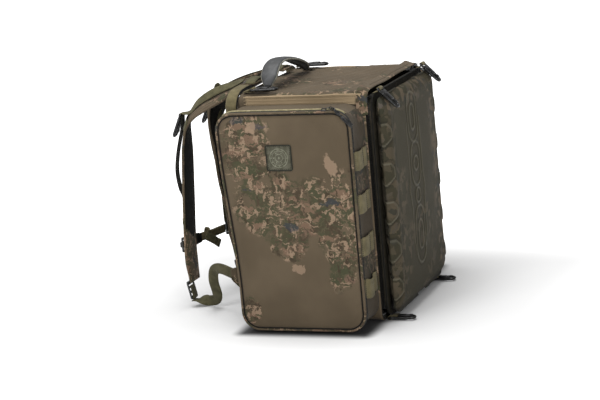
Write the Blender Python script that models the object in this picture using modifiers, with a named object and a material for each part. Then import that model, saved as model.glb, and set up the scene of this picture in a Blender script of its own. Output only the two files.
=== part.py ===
"""A tackle backpack: boxy main bag, moulded front door, two side pockets, padded straps.

Metres, +Z up. The origin is the middle of the flat base. -Y is the moulded front, +Y the
wearer's back, -X the wearer's left. Every sub-part is one object in the collection
"tackle_backpack", and a moving piece has its origin on its joint's axis.
"""

import math

import bmesh
import bpy
from mathutils import Matrix, Vector

# ---- driving dimensions -------------------------------------------------------------
BODY_WIDTH = 0.360
BODY_DEPTH = 0.286
BODY_HEIGHT = 0.494
BODY_WALL = 0.008
BODY_RADIUS = 0.022
GAP = 0.0003

ZIP_SLIT = 0.012
DOOR_DEPTH = 0.036
DOOR_BOTTOM = 0.0105
DOOR_TOP = 0.484
DOOR_WALL = 0.005
DOOR_RADIUS = 0.033

POCKET_DEPTH = 0.092
POCKET_FRONT = -0.139
POCKET_BACK = 0.135
POCKET_BOTTOM = 0.007
POCKET_TOP = 0.469
POCKET_WALL = 0.004
POCKET_RADIUS = 0.038
LID_THICKNESS = 0.010
LOOP_HEIGHTS = (0.362, 0.272, 0.183, 0.096)

WEB_NARROW = 0.020
WEB_WIDE = 0.025
WEB_LOOP = 0.040
WEB_THICK = 0.0014

STRAP_X = 0.080
STRAP_WIDTH = 0.056
STRAP_THICK = 0.011

HANDLE_SPAN = 0.228
HANDLE_Y = 0.092
HANDLE_RISE = 0.040
HANDLE_WIDTH = 0.036
HANDLE_THICK = 0.008
HANDLE_PIVOT_Z = BODY_HEIGHT + 0.004

CLIP_LENGTH = 0.058
CLIP_HALF_WIDTH = 0.0130
CLIP_THICK = 0.004
CLIP_BAR = 0.004
CURL_RADIUS = 0.0039

# ---- places worked out from them ----------------------------------------------------
SIDE_X = BODY_WIDTH / 2
FRONT_Y = -BODY_DEPTH / 2
BACK_Y = BODY_DEPTH / 2
DOOR_BACK = FRONT_Y - ZIP_SLIT
DOOR_FRONT = DOOR_BACK - DOOR_DEPTH
POCKET_FACE = SIDE_X + POCKET_DEPTH
LID_INNER = POCKET_FACE - LID_THICKNESS
SIDES = (("left", -1), ("right", 1))
X_AXIS = Vector((1, 0, 0))
Y_AXIS = Vector((0, 1, 0))
Z_AXIS = Vector((0, 0, 1))

# ---- colours: red, green, blue, roughness, metallic ---------------------------------
CAMO = (0.115, 0.092, 0.060, 0.85, 0.0)
MOULDED = (0.070, 0.066, 0.045, 0.70, 0.0)
OLIVE_WEB = (0.160, 0.150, 0.075, 0.85, 0.0)
BLACK_PLASTIC = (0.020, 0.021, 0.022, 0.45, 0.0)
GREY_PLASTIC = (0.090, 0.095, 0.095, 0.50, 0.0)
GREY_RUBBER = (0.060, 0.064, 0.066, 0.60, 0.0)
MESH_BLACK = (0.030, 0.030, 0.028, 0.90, 0.0)
BOARD = (0.200, 0.200, 0.200, 0.60, 0.0)
PATCH = (0.140, 0.160, 0.105, 0.80, 0.0)


# ---- tools --------------------------------------------------------------------------
def clear_scene():
    for obj in list(bpy.data.objects):
        bpy.data.objects.remove(obj)


def new_collection(name):
    collection = bpy.data.collections.new(name)
    bpy.context.scene.collection.children.link(collection)
    return collection


clear_scene()
PARTS = new_collection("tackle_backpack")
CUTTERS = new_collection("cutters")


def set_material(obj, look):
    red, green, blue, roughness, metallic = look
    material = bpy.data.materials.new(obj.name)
    material.use_nodes = True
    shader = material.node_tree.nodes["Principled BSDF"]
    shader.inputs["Base Color"].default_value = (red, green, blue, 1)
    shader.inputs["Roughness"].default_value = roughness
    shader.inputs["Metallic"].default_value = metallic
    obj.data.materials.append(material)


def add_object(name, data, look, pivot=(0, 0, 0)):
    """Links an object whose data is in world coordinates, with its origin moved to pivot."""
    pivot = Vector(pivot)
    data.transform(Matrix.Translation(-pivot))
    obj = bpy.data.objects.new(name, data)
    obj.location = pivot
    PARTS.objects.link(obj)
    if look:
        set_material(obj, look)
    return obj


def mesh_from(bm, name):
    bmesh.ops.recalc_face_normals(bm, faces=bm.faces)
    mesh = bpy.data.meshes.new(name)
    bm.to_mesh(mesh)
    bm.free()
    return mesh


def cube_between(low, high):
    """A bmesh box from its low corner to its high corner."""
    low, high = Vector(low), Vector(high)
    bm = bmesh.new()
    size = high - low
    place = Matrix.Translation((low + high) / 2) @ Matrix.Diagonal((*size, 1))
    bmesh.ops.create_cube(bm, size=1, matrix=place)
    return bm


def block(name, low, high, look, radius=0.001, segments=2, pivot=(0, 0, 0)):
    """A solid box with every edge rounded."""
    bm = cube_between(low, high)
    bmesh.ops.bevel(bm, geom=bm.edges[:], offset=radius, segments=segments,
                    profile=0.5, affect="EDGES")
    return add_object(name, mesh_from(bm, name), look, pivot)


def edge_direction(edge):
    return (edge.verts[1].co - edge.verts[0].co).normalized()


def open_box(name, low, high, open_side, wall, radius, look, only_along=None, pivot=(0, 0, 0)):
    """A box shell without the wall on open_side; only_along limits which edges are rounded."""
    bm = cube_between(low, high)
    lid = [f for f in bm.faces if f.normal.dot(open_side) > 0.9]
    bmesh.ops.delete(bm, geom=lid, context="FACES_ONLY")
    edges = [e for e in bm.edges if not e.is_boundary]
    if only_along:
        edges = [e for e in edges if abs(edge_direction(e).dot(only_along)) > 0.9]
    bmesh.ops.bevel(bm, geom=edges, offset=radius, segments=4, profile=0.5, affect="EDGES")
    mesh = bpy.data.meshes.new(name)
    bm.to_mesh(mesh)
    bm.free()
    obj = add_object(name, mesh, look, pivot)
    solid = obj.modifiers.new("wall", "SOLIDIFY")
    solid.thickness = wall
    solid.offset = -1
    solid.use_even_offset = True
    return obj


def arc(centre, radius, start, end, step=30):
    """Points round centre in a plane, from start to end in degrees."""
    count = max(2, round(abs(end - start) / step))
    angles = [math.radians(start + (end - start) * i / count) for i in range(count + 1)]
    return [(centre[0] + radius * math.cos(a), centre[1] + radius * math.sin(a)) for a in angles]


def rounded_outline(low, high, radius, step=18):
    """A rectangle with round corners, counter-clockwise."""
    corners = (
        ((high[0] - radius, low[1] + radius), -90),
        ((high[0] - radius, high[1] - radius), 0),
        ((low[0] + radius, high[1] - radius), 90),
        ((low[0] + radius, low[1] + radius), 180),
    )
    return [p for centre, start in corners for p in arc(centre, radius, start, start + 90, step)]


def plate(name, outlines, thickness, matrix, look, pivot=(0, 0, 0)):
    """A flat piece: the first outline is its edge, the others its holes; matrix places it."""
    curve = bpy.data.curves.new(name, "CURVE")
    curve.dimensions = "2D"
    curve.fill_mode = "BOTH"
    curve.extrude = thickness / 2
    for outline in outlines:
        spline = curve.splines.new("POLY")
        spline.points.add(len(outline) - 1)
        for point, (u, v) in zip(spline.points, outline):
            point.co = (u, v, 0, 1)
        spline.use_cyclic_u = True
    pivot = Vector(pivot)
    obj = bpy.data.objects.new(name, curve)
    obj.matrix_world = matrix
    PARTS.objects.link(obj)
    mesh = mesh_of(obj)
    bpy.data.objects.remove(obj)
    return add_object(name, mesh, look, pivot)


def mesh_of(obj):
    """The welded mesh of a curve object, in world coordinates."""
    bpy.context.view_layer.update()
    evaluated = obj.evaluated_get(bpy.context.evaluated_depsgraph_get())
    mesh = bpy.data.meshes.new_from_object(evaluated)
    mesh.transform(obj.matrix_world)
    bm = bmesh.new()
    bm.from_mesh(mesh)
    bmesh.ops.remove_doubles(bm, verts=bm.verts, dist=0.00001)
    bmesh.ops.recalc_face_normals(bm, faces=bm.faces)
    bm.to_mesh(mesh)
    bm.free()
    return mesh


def loft(name, sections, look, pivot=(0, 0, 0)):
    """A closed body through sections that all have the same number of points."""
    bm = bmesh.new()
    rings = [[bm.verts.new(p) for p in section] for section in sections]
    count = len(rings[0])
    for a, b in zip(rings, rings[1:]):
        for i in range(count):
            j = (i + 1) % count
            bm.faces.new((a[i], a[j], b[j], b[i]))
    bm.faces.new(rings[0])
    bm.faces.new(rings[-1])
    return add_object(name, mesh_from(bm, name), look, pivot)


def tangents(path):
    ahead = path[1:] + path[-1:]
    behind = path[:1] + path[:-1]
    return [(b - a).normalized() for a, b in zip(behind, ahead)]


def flat_section(half_width, half_thick):
    return [(-half_width, -half_thick), (half_width, -half_thick),
            (half_width, half_thick), (-half_width, half_thick)]


def padded_section(half_width, half_thick):
    """A strap's section with its four corners cut off."""
    cut = half_thick * 0.55
    quarter = [(half_width, half_thick - cut), (half_width - cut, half_thick)]
    upper = quarter + [(-u, v) for u, v in reversed(quarter)]
    return upper + [(-u, -v) for u, v in upper]


def ribbon(name, path, look, width=WEB_NARROW, thick=WEB_THICK, across=X_AXIS, face=None,
           pivot=(0, 0, 0)):
    """Webbing along path. Its width lies along across, or, with face given, square to face."""
    path = [Vector(p) for p in path]
    sections = []
    for point, tangent in zip(path, tangents(path)):
        wide = tangent.cross(face).normalized() if face else across
        normal = tangent.cross(wide).normalized()
        sections.append([point + wide * u + normal * v for u, v in flat_section(width / 2, thick / 2)])
    return loft(name, sections, look, pivot)


def in_yz(points, x):
    return [Vector((x, y, z)) for y, z in points]


def in_xz(points, y):
    return [Vector((x, y, z)) for x, z in points]


def placed(origin, u_axis, v_axis):
    """The matrix that lays a plate's own x and y along u_axis and v_axis, at origin."""
    u_axis, v_axis = Vector(u_axis).normalized(), Vector(v_axis).normalized()
    basis = Matrix((u_axis, v_axis, u_axis.cross(v_axis))).transposed().to_4x4()
    return Matrix.Translation(origin) @ basis


# ---- the main bag -------------------------------------------------------------------
def make_main_bag():
    open_box("main_shell", (-SIDE_X, FRONT_Y, 0), (SIDE_X, BACK_Y, BODY_HEIGHT),
             -Y_AXIS, BODY_WALL, BODY_RADIUS, CAMO)
    inner_x = SIDE_X - BODY_RADIUS - 0.001
    inner_back = BACK_Y - BODY_WALL - GAP
    board_low = BODY_WALL + GAP
    board_thick = 0.003
    clear_of_corner = 0.018
    sheet_margin = 0.030
    block("base_board", (-inner_x, FRONT_Y + 0.004, board_low),
          (inner_x, inner_back - clear_of_corner, board_low + board_thick), BOARD)
    block("frame_sheet", (-inner_x, inner_back - board_thick, sheet_margin),
          (inner_x, inner_back, BODY_HEIGHT - sheet_margin), BOARD)


def make_back_padding():
    half_width = 0.128
    pads = {"back_pad": (0.160, 0.455, 0.022), "lumbar_pad": (0.035, 0.140, 0.026)}
    for name, (low_z, high_z, thick) in pads.items():
        block(name, (-half_width, BACK_Y + GAP, low_z), (half_width, BACK_Y + thick, high_z),
              MESH_BLACK, 0.008, 3)


def make_main_zip_tape():
    """Half of the zip: a band standing on the shell's front rim, up one side and down the other."""
    line_x = SIDE_X - 0.0045
    line_top = DOOR_TOP - 0.0045
    corner = 0.020
    bottom = 0.030
    left = [(-line_x, bottom)] + arc((-line_x + corner, line_top - corner), corner, 180, 90, 22.5)
    right = [(-x, z) for x, z in reversed(left)]
    y = FRONT_Y - ZIP_SLIT / 2
    ribbon("main_zip_tape", in_xz(left + right, y), OLIVE_WEB, ZIP_SLIT - 2 * GAP, 0.004, Y_AXIS)


# ---- clips, and the webbing tabs that hold them -------------------------------------
def clip_outlines():
    """The clip seen flat: +x runs from its bar to its tip, and the bar's middle is at 0, 0."""
    tip = 0.0115
    inner = 0.0070
    slot = 0.0105
    slot_end = 0.0065
    loop_start = 0.0105
    tip_centre = CLIP_LENGTH - CLIP_BAR / 2 - tip
    edge = [(-CLIP_BAR / 2, -0.0125), (loop_start, -CLIP_HALF_WIDTH)]
    edge += arc((tip_centre, 0), tip, -90, 90, 22.5)
    edge += [(loop_start, CLIP_HALF_WIDTH), (-CLIP_BAR / 2, 0.0125)]
    slot_hole = [(CLIP_BAR / 2, -slot), (slot_end, -slot), (slot_end, slot), (CLIP_BAR / 2, slot)]
    loop_hole = [(loop_start, -0.0088)] + arc((tip_centre, 0), inner, -90, 90, 22.5)
    loop_hole.append((loop_start, 0.0088))
    return [edge, slot_hole, loop_hole]


def make_clip(name, bar, direction):
    """A snap clip whose bar is at bar, along X, and whose loop points along direction."""
    plate(name, clip_outlines(), CLIP_THICK, placed(bar, direction, X_AXIS), BLACK_PLASTIC, bar)


def make_corner_clips():
    rear = (0.109, BODY_HEIGHT + 0.0010 + CURL_RADIUS)
    front = (-0.168, DOOR_TOP + 0.0085)
    base = (DOOR_BACK + 0.002, 0.0052)
    tabs = {
        "rear": (0.158, rear, [(rear[0] + 0.020, rear[1] - CURL_RADIUS)]
                 + arc(rear, CURL_RADIUS, 270, 15), (0, -1, 0)),
        "front": (0.151, front, [(front[0] + 0.012, DOOR_TOP + 0.0012)]
                  + arc(front, CURL_RADIUS, 270, 15), (0, -0.70, -0.714)),
        "base": (0.152, base, [(base[0] - 0.017, base[1] + CURL_RADIUS)]
                 + arc(base, CURL_RADIUS, 90, -200), (0, -1, 0)),
    }
    for place, (x, bar, path, direction) in tabs.items():
        for side, sign in SIDES:
            ribbon(f"clip_tab_{place}_{side}", in_yz(path, sign * x), OLIVE_WEB)
            make_clip(f"clip_{place}_{side}", Vector((sign * x, *bar)), Vector(direction))


# ---- front door and its zip ---------------------------------------------------------
def make_front_door():
    hinge = (0, FRONT_Y - ZIP_SLIT / 2, 0.004)
    open_box("front_panel", (-SIDE_X, DOOR_FRONT, DOOR_BOTTOM), (SIDE_X, DOOR_BACK, DOOR_TOP),
             Y_AXIS, DOOR_WALL, DOOR_RADIUS, MOULDED, pivot=hinge)


def make_main_zip_sliders():
    slit_y = FRONT_Y - ZIP_SLIT / 2
    slider_low = DOOR_TOP - 0.0018
    slider_top = slider_low + 0.006
    pull_length = 0.032
    for side, sign, x in (("left", -1, 0.120), ("right", 1, 0.138)):
        block(f"main_zip_slider_{side}", (x - 0.006, slit_y - 0.0045, slider_low),
              (x + 0.006, slit_y + 0.0045, slider_top), BLACK_PLASTIC,
              pivot=(x, slit_y, slider_low))
        bail = (x, slit_y, slider_top + 0.0018)
        start = sign * 0.001
        end = sign * pull_length
        block(f"main_zip_pull_{side}", (x + min(start, end), slit_y - 0.0035, slider_top + GAP),
              (x + max(start, end), slit_y + 0.0035, slider_top + 0.0033), BLACK_PLASTIC, pivot=bail)


# ---- side pockets -------------------------------------------------------------------
def make_pocket(side, sign):
    root_x = sign * (SIDE_X + GAP)
    rim_x = sign * (LID_INNER - GAP)
    open_box(f"pocket_shell_{side}",
             (min(root_x, rim_x), POCKET_FRONT, POCKET_BOTTOM),
             (max(root_x, rim_x), POCKET_BACK, POCKET_TOP),
             X_AXIS * sign, POCKET_WALL, POCKET_RADIUS, CAMO, only_along=X_AXIS)
    lid_x = sign * (POCKET_FACE - LID_THICKNESS / 2)
    outline = rounded_outline((POCKET_FRONT, POCKET_BOTTOM), (POCKET_BACK, POCKET_TOP), POCKET_RADIUS)
    plate(f"pocket_lid_{side}", [outline], LID_THICKNESS, placed((lid_x, 0, 0), Y_AXIS, Z_AXIS),
          CAMO, (sign * POCKET_FACE, 0, POCKET_BOTTOM))


def make_webbing_loops(side, sign):
    """Four bands on the pocket's front wall, sewn at both ends and free between them."""
    start = SIDE_X + 0.003
    end = POCKET_FACE - 0.012
    sewn = POCKET_FRONT - GAP - WEB_THICK / 2
    free = sewn - 0.0022
    for number, height in enumerate(LOOP_HEIGHTS, 1):
        line = [(start, sewn), (start + 0.006, sewn), (start + 0.012, free),
                (end - 0.012, free), (end - 0.006, sewn), (end, sewn)]
        path = [Vector((sign * x, y, height)) for x, y in line]
        ribbon(f"webbing_loop_{side}_{number}", path, OLIVE_WEB, WEB_LOOP, across=Z_AXIS)


def make_pocket_zip(side, sign):
    x = sign * (POCKET_FACE - 0.007)
    y = -0.085
    low = POCKET_TOP + GAP
    block(f"pocket_zip_slider_{side}", (x - 0.0045, y - 0.006, low),
          (x + 0.0045, y + 0.006, low + 0.005), BLACK_PLASTIC, pivot=(x, y, low))
    outside = sign * (POCKET_FACE + 0.004)
    eye = (x, y - 0.0075, low + 0.0055)
    path = [eye, (x, y - 0.016, low + 0.0060), (sign * (POCKET_FACE + 0.001), y - 0.026, low + 0.0040),
            (outside, y - 0.036, low - 0.006), (outside, y - 0.061, low - 0.030)]
    ribbon(f"pocket_zip_pull_{side}", path, BLACK_PLASTIC, 0.006, 0.0025, face=X_AXIS, pivot=eye)


def make_patch():
    face = -(POCKET_FACE + GAP + 0.001)
    outline = rounded_outline((-0.010, 0.348), (0.047, 0.403), 0.006, 45)
    plate("pocket_patch", [outline], 0.002, placed((face, 0, 0), Y_AXIS, Z_AXIS), PATCH)


# ---- carry handle -------------------------------------------------------------------
def make_carry_handle():
    """An arched band that narrows towards its two feet, so it can swing over the top."""
    sections = []
    steps = 14
    for i in range(steps + 1):
        angle = math.pi * i / steps
        x = -HANDLE_SPAN / 2 * math.cos(angle)
        rise = HANDLE_RISE * math.sin(angle) ** 0.45
        tangent = Vector((math.sin(angle), 0, 0.9 * math.cos(angle))).normalized()
        normal = tangent.cross(Y_AXIS)
        half_width = HANDLE_WIDTH / 2 * (0.25 + 0.75 * rise / HANDLE_RISE)
        middle = Vector((x, HANDLE_Y, HANDLE_PIVOT_Z + rise))
        sections.append([middle + Y_AXIS * u + normal * v
                         for u, v in padded_section(half_width, HANDLE_THICK / 2)])
    loft("carry_handle", sections, GREY_RUBBER, (0, HANDLE_Y, HANDLE_PIVOT_Z))


# ---- shoulder harness ---------------------------------------------------------------
# y, z and roll in degrees along each strap's middle; the outer edge droops with the roll.
SHOULDER_ARC = ((0.122, 0.5035, 0), (0.150, 0.5030, 8), (0.185, 0.488, 20), (0.220, 0.4745, 28),
                (0.255, 0.459, 30), (0.285, 0.440, 26), (0.303, 0.412, 15), (0.309, 0.375, 6))
CHEST_RUN = {
    "left": ((0.312, 0.340, 2), (0.320, 0.243, 0), (0.326, 0.165, 0),
             (0.328, 0.110, 0), (0.325, 0.062, 0)),
    "right": ((0.305, 0.330, 2), (0.301, 0.255, 0), (0.2905, 0.190, 0),
              (0.2855, 0.125, 0), (0.276, 0.072, 0)),
}
STRAP_PIVOT = (0.120, 0.4975)
LOCK_BARS = {"left": (0.3375, 0.0560), "right": (0.2870, 0.0640)}
LOCK_LENGTH = 0.040
LOCK_DROP = (-0.20, -0.98)
STRAP_CLIP_BAR = (0.3145, 0.4350)
STRAP_CLIP_TILT = 26
RAIL_BOW = {
    "left": ((0.3155, 0.410), (0.3235, 0.385), (0.3345, 0.345),
             (0.3400, 0.307), (0.3365, 0.272), (0.3290, 0.243)),
    "right": ((0.3155, 0.410), (0.3215, 0.380), (0.3205, 0.345), (0.3150, 0.300)),
}
# x, y and z from each wing's tip, down to the ground and back up towards the strap's buckle.
ADJUSTER_ROUTE = {
    "left": ((0.158, 0.208, 0.096), (0.142, 0.232, 0.104), (0.124, 0.256, 0.094),
             (0.110, 0.266, 0.066), (0.098, 0.266, 0.036), (0.088, 0.274, 0.019),
             (0.081, 0.292, 0.0145), (0.080, 0.314, 0.0190)),
    "right": ((0.158, 0.209, 0.096), (0.140, 0.222, 0.084), (0.118, 0.228, 0.056),
              (0.102, 0.230, 0.034), (0.090, 0.238, 0.021), (0.082, 0.250, 0.018),
              (0.080, 0.264, 0.022)),
}
# x and z from the bag's side seam, up and over its top edge to the strap.
LIFTER_ROUTE = ((0.1745, 0.440), (0.1745, 0.470), (0.168, 0.485),
                (0.154, 0.494), (0.134, 0.498), (0.114, 0.499))


def make_shoulder_strap(side, sign):
    stations = SHOULDER_ARC + CHEST_RUN[side]
    path = [Vector((sign * STRAP_X, y, z)) for y, z, roll in stations]
    sections = []
    for point, tangent, (y, z, roll) in zip(path, tangents(path), stations):
        turn = math.radians(roll)
        outer = sign * X_AXIS * math.cos(turn) + tangent.cross(X_AXIS) * math.sin(turn)
        normal = tangent.cross(outer).normalized()
        sections.append([point + outer * u + normal * v
                         for u, v in padded_section(STRAP_WIDTH / 2, STRAP_THICK / 2)])
    loft(f"shoulder_strap_{side}", sections, CAMO, (sign * STRAP_X, *STRAP_PIVOT))


def make_strap_webbing(side, sign):
    """The lengthwise webbing: round the strap clip's bar, bowed off the strap, then into its lock."""
    rise = STRAP_THICK / 2 + 0.0022
    facing = STRAP_CLIP_TILT
    round_clip = arc(STRAP_CLIP_BAR, CURL_RADIUS, facing + 75, facing - 135)
    chest = [(y + rise, z) for y, z, roll in CHEST_RUN[side][2:-1]]
    lock = LOCK_BARS[side]
    round_lock = arc(lock, CURL_RADIUS, 180, 375)
    line = [(0.2960, 0.4480)] + round_clip + list(RAIL_BOW[side]) + chest + round_lock
    ribbon(f"strap_webbing_{side}", in_yz(line, sign * STRAP_X), OLIVE_WEB,
           pivot=(sign * STRAP_X, *STRAP_PIVOT))
    turn = math.radians(facing)
    make_clip(f"clip_strap_{side}", Vector((sign * STRAP_X, *STRAP_CLIP_BAR)),
              Vector((0, math.sin(turn), -math.cos(turn))))


def make_ladder_lock(side, sign):
    """A buckle frame with a slot for the strap's webbing and two for the adjuster."""
    half = 0.0160
    slot = 0.0131
    bar = CLIP_BAR / 2
    edge = rounded_outline((-bar, -half), (LOCK_LENGTH - bar, half), 0.003, 45)
    holes = [[(bar, -slot), (0.0080, -slot), (0.0080, slot), (bar, slot)]]
    for start in (0.0125, 0.0240):
        holes.append([(start, -slot), (start + 0.0060, -slot), (start + 0.0060, slot), (start, slot)])
    top = Vector((sign * STRAP_X, *LOCK_BARS[side]))
    plate(f"ladder_lock_{side}", [edge] + holes, CLIP_THICK,
          placed(top, (0, *LOCK_DROP), X_AXIS), GREY_PLASTIC, top)


def make_anchors(side, sign):
    """The wing at the bag's lower back corner, its adjuster webbing, and the load lifter."""
    wing_x = sign * 0.160
    wing = [(BACK_Y + GAP, 0.030), (0.200, 0.082), (0.200, 0.108), (BACK_Y + GAP, 0.125)]
    plate(f"strap_wing_{side}", [wing], 0.006, placed((wing_x, 0, 0), Y_AXIS, Z_AXIS), CAMO)
    path = [Vector((sign * x, y, z)) for x, y, z in ADJUSTER_ROUTE[side]]
    ribbon(f"adjuster_webbing_{side}", path, OLIVE_WEB, WEB_WIDE, face=X_AXIS)
    lifter_y = BACK_Y + GAP + WEB_WIDE / 2
    line = [(sign * x, z) for x, z in LIFTER_ROUTE]
    ribbon(f"load_lifter_{side}", in_xz(line, lifter_y), OLIVE_WEB, WEB_WIDE, across=Y_AXIS)


# ---- sternum strap ------------------------------------------------------------------
STERNUM_Z = 0.143
SLIDER_HALF = (0.014, 0.0055, 0.0165)
SLIDER_Y = {"left": 0.3428, "right": 0.3042}


def sternum_line():
    """Start, end and direction of the chest strap, from the left slider to the right one."""
    start = Vector((-STRAP_X + SLIDER_HALF[0] + 0.001, SLIDER_Y["left"], STERNUM_Z))
    end = Vector((STRAP_X - SLIDER_HALF[0] - 0.001, SLIDER_Y["right"], STERNUM_Z))
    return start, end, (end - start).normalized()


def make_sternum_sliders():
    for side, sign in SIDES:
        middle = Vector((sign * STRAP_X, SLIDER_Y[side], STERNUM_Z))
        half = Vector(SLIDER_HALF)
        block(f"sternum_slider_{side}", middle - half, middle + half, GREY_PLASTIC, 0.002, 2, middle)


def boolean(obj, cutter_bm, operation):
    """Joins a bmesh to obj, or cuts it from obj, with an EXACT boolean modifier."""
    tool = bpy.data.objects.new(f"{obj.name}_{operation.lower()}", mesh_from(cutter_bm, "tool"))
    tool.location = obj.location
    tool.rotation_euler = obj.rotation_euler
    tool.hide_render = True
    tool.display_type = "WIRE"
    CUTTERS.objects.link(tool)
    modifier = obj.modifiers.new(operation.lower(), "BOOLEAN")
    modifier.operation = operation
    modifier.solver = "EXACT"
    modifier.object = tool


def make_buckle():
    """A side-release buckle: a socket half at the left slider and a tongue half on the webbing."""
    start, end, along = sternum_line()
    heading = math.atan2(along.y, along.x)
    socket_length = 0.032
    depth = 0.018
    half_height = 0.0125
    socket = block("sternum_buckle_female", (0, -0.0050, -half_height),
                   (socket_length, 0.0050, half_height), BLACK_PLASTIC, 0.002)
    socket.location = start
    socket.rotation_euler.z = heading
    mouth = cube_between((socket_length - depth, -0.0032, -0.0095),
                         (socket_length + 0.01, 0.0032, 0.0095))
    boolean(socket, mouth, "DIFFERENCE")
    shoulder = socket_length + 0.0006
    body_end = shoulder + 0.016
    tongue = block("sternum_buckle_male", (shoulder, -0.0045, -half_height),
                   (body_end, 0.0045, half_height), BLACK_PLASTIC, 0.002)
    tongue.location = start
    tongue.rotation_euler.z = heading
    prong = cube_between((shoulder - 0.0105, -0.0022, -0.0082),
                         (shoulder + 0.001, 0.0022, 0.0082))
    boolean(tongue, prong, "UNION")
    channel = cube_between((body_end - 0.0135, -0.0013, -0.0105),
                           (body_end + 0.01, 0.0013, 0.0105))
    boolean(tongue, channel, "DIFFERENCE")
    path = [start + along * (body_end - 0.0010), end - along * 0.0006]
    ribbon("sternum_webbing", path, OLIVE_WEB, WEB_NARROW, across=Z_AXIS)


# ---- the whole backpack -------------------------------------------------------------
make_main_bag()
make_back_padding()
make_main_zip_tape()
make_front_door()
make_main_zip_sliders()
make_corner_clips()
make_patch()
make_carry_handle()
make_sternum_sliders()
make_buckle()
for pack_side, pack_sign in SIDES:
    make_pocket(pack_side, pack_sign)
    make_webbing_loops(pack_side, pack_sign)
    make_pocket_zip(pack_side, pack_sign)
    make_shoulder_strap(pack_side, pack_sign)
    make_strap_webbing(pack_side, pack_sign)
    make_ladder_lock(pack_side, pack_sign)
    make_anchors(pack_side, pack_sign)
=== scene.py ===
"""The looks of the tackle backpack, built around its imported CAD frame. Metres, +Z up."""

import math

import bmesh
import bpy
import numpy as np
from mathutils import Matrix, Vector, noise


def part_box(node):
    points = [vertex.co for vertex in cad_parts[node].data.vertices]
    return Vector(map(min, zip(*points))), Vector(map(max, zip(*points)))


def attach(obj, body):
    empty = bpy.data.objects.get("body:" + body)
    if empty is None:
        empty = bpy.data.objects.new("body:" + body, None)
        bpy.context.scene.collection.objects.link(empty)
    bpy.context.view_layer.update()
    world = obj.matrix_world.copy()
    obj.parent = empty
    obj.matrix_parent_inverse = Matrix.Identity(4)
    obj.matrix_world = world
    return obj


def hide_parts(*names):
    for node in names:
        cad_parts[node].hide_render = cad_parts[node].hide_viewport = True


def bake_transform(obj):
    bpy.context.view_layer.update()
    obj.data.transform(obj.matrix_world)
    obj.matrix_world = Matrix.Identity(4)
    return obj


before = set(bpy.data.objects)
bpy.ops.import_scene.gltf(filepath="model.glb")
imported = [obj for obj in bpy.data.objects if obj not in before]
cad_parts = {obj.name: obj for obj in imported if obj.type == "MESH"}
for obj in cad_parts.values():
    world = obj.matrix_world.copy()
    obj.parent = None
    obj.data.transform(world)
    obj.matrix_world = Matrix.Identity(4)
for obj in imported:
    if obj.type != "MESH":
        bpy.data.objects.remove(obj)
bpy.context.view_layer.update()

SIDES = (("left", -1), ("right", 1))
X_AXIS = Vector((1, 0, 0))
Y_AXIS = Vector((0, 1, 0))
Z_AXIS = Vector((0, 0, 1))


# ---- small maths ----------------------------------------------------------------------
def clamp(value, low=0.0, high=1.0):
    return max(low, min(high, value))


def ease(low, high, value):
    t = np.clip((value - low) / (high - low), 0, 1)
    return t * t * (3 - 2 * t)


# how much brighter than its own albedo a face looks under this scene's lights
LIT = 1.68


def srgb(red, green, blue):
    """The albedo, as linear RGBA, of a colour given as it looks when lit: sRGB, 0-255."""
    def linear(channel):
        c = channel / 255
        return (c / 12.92 if c <= 0.04045 else ((c + 0.055) / 1.055) ** 2.4) / LIT
    return (linear(red), linear(green), linear(blue), 1)


def catmull(points, spacing):
    """Points on a smooth curve through the given vectors (of any length), spacing apart."""
    pts = [np.array(p, float) for p in points]
    pts = [2 * pts[0] - pts[1]] + pts + [2 * pts[-1] - pts[-2]]
    out = []
    for p0, p1, p2, p3 in zip(pts, pts[1:], pts[2:], pts[3:]):
        count = max(1, int(round(np.linalg.norm((p2 - p1)[:3]) / spacing)))
        for i in range(count):
            t = i / count
            out.append(0.5 * (2 * p1 + (p2 - p0) * t + (2 * p0 - 5 * p1 + 4 * p2 - p3) * t * t
                              + (3 * p1 - p0 - 3 * p2 + p3) * t ** 3))
    out.append(pts[-2])
    return out


def arc(centre, radius, start, end, step=15):
    count = max(2, round(abs(end - start) / step))
    angles = [math.radians(start + (end - start) * i / count) for i in range(count + 1)]
    return [(centre[0] + radius * math.cos(a), centre[1] + radius * math.sin(a)) for a in angles]


def round_rect(low, high, radius, spacing=0.006, arc_step=10):
    """Evenly filled points on a rectangle with round corners, counter-clockwise."""
    left, right = low[0] + radius, high[0] - radius
    bottom, top = low[1] + radius, high[1] - radius
    corners = (((right, bottom), -90), ((right, top), 0), ((left, top), 90), ((left, bottom), 180))
    raw = [p for centre, start in corners for p in arc(centre, radius, start, start + 90, arc_step)]
    out = []
    for a, b in zip(raw, raw[1:] + raw[:1]):
        count = max(1, int(round(math.dist(a, b) / spacing)))
        out += [(a[0] + (b[0] - a[0]) * i / count, a[1] + (b[1] - a[1]) * i / count)
                for i in range(count)]
    return out


def noise_at(points, scale, seed=0.0):
    """Smooth noise from -1 to 1 at each row of points; scale is a number or one per axis."""
    rows = np.asarray(points) * np.asarray(scale) + seed
    return np.array([noise.noise(Vector(row)) for row in rows])


def beside(items, i):
    """The items before and after number i, or i's own at an end."""
    return items[max(i - 1, 0)], items[min(i + 1, len(items) - 1)]


def circle(count):
    """Angles evenly round a full turn."""
    return np.linspace(0, 2 * math.pi, count, endpoint=False)


def upright_rect(low, high, inset, radius):
    """The x and z of a rounded outline that lies inset within a box's own outline."""
    return round_rect((low.x + inset, low.z + inset), (high.x - inset, high.z - inset), radius)


def hole(low, high, radius, spacing, arc_step=30):
    """A rounded slot, turned the way round that Form.plate wants for a hole."""
    return list(reversed(round_rect(low, high, radius, spacing, arc_step)))


def placed_at(place, points):
    return [place @ Vector(p) for p in points]


def linked(name, data):
    obj = bpy.data.objects.new(name, data)
    bpy.context.scene.collection.objects.link(obj)
    return obj


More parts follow.
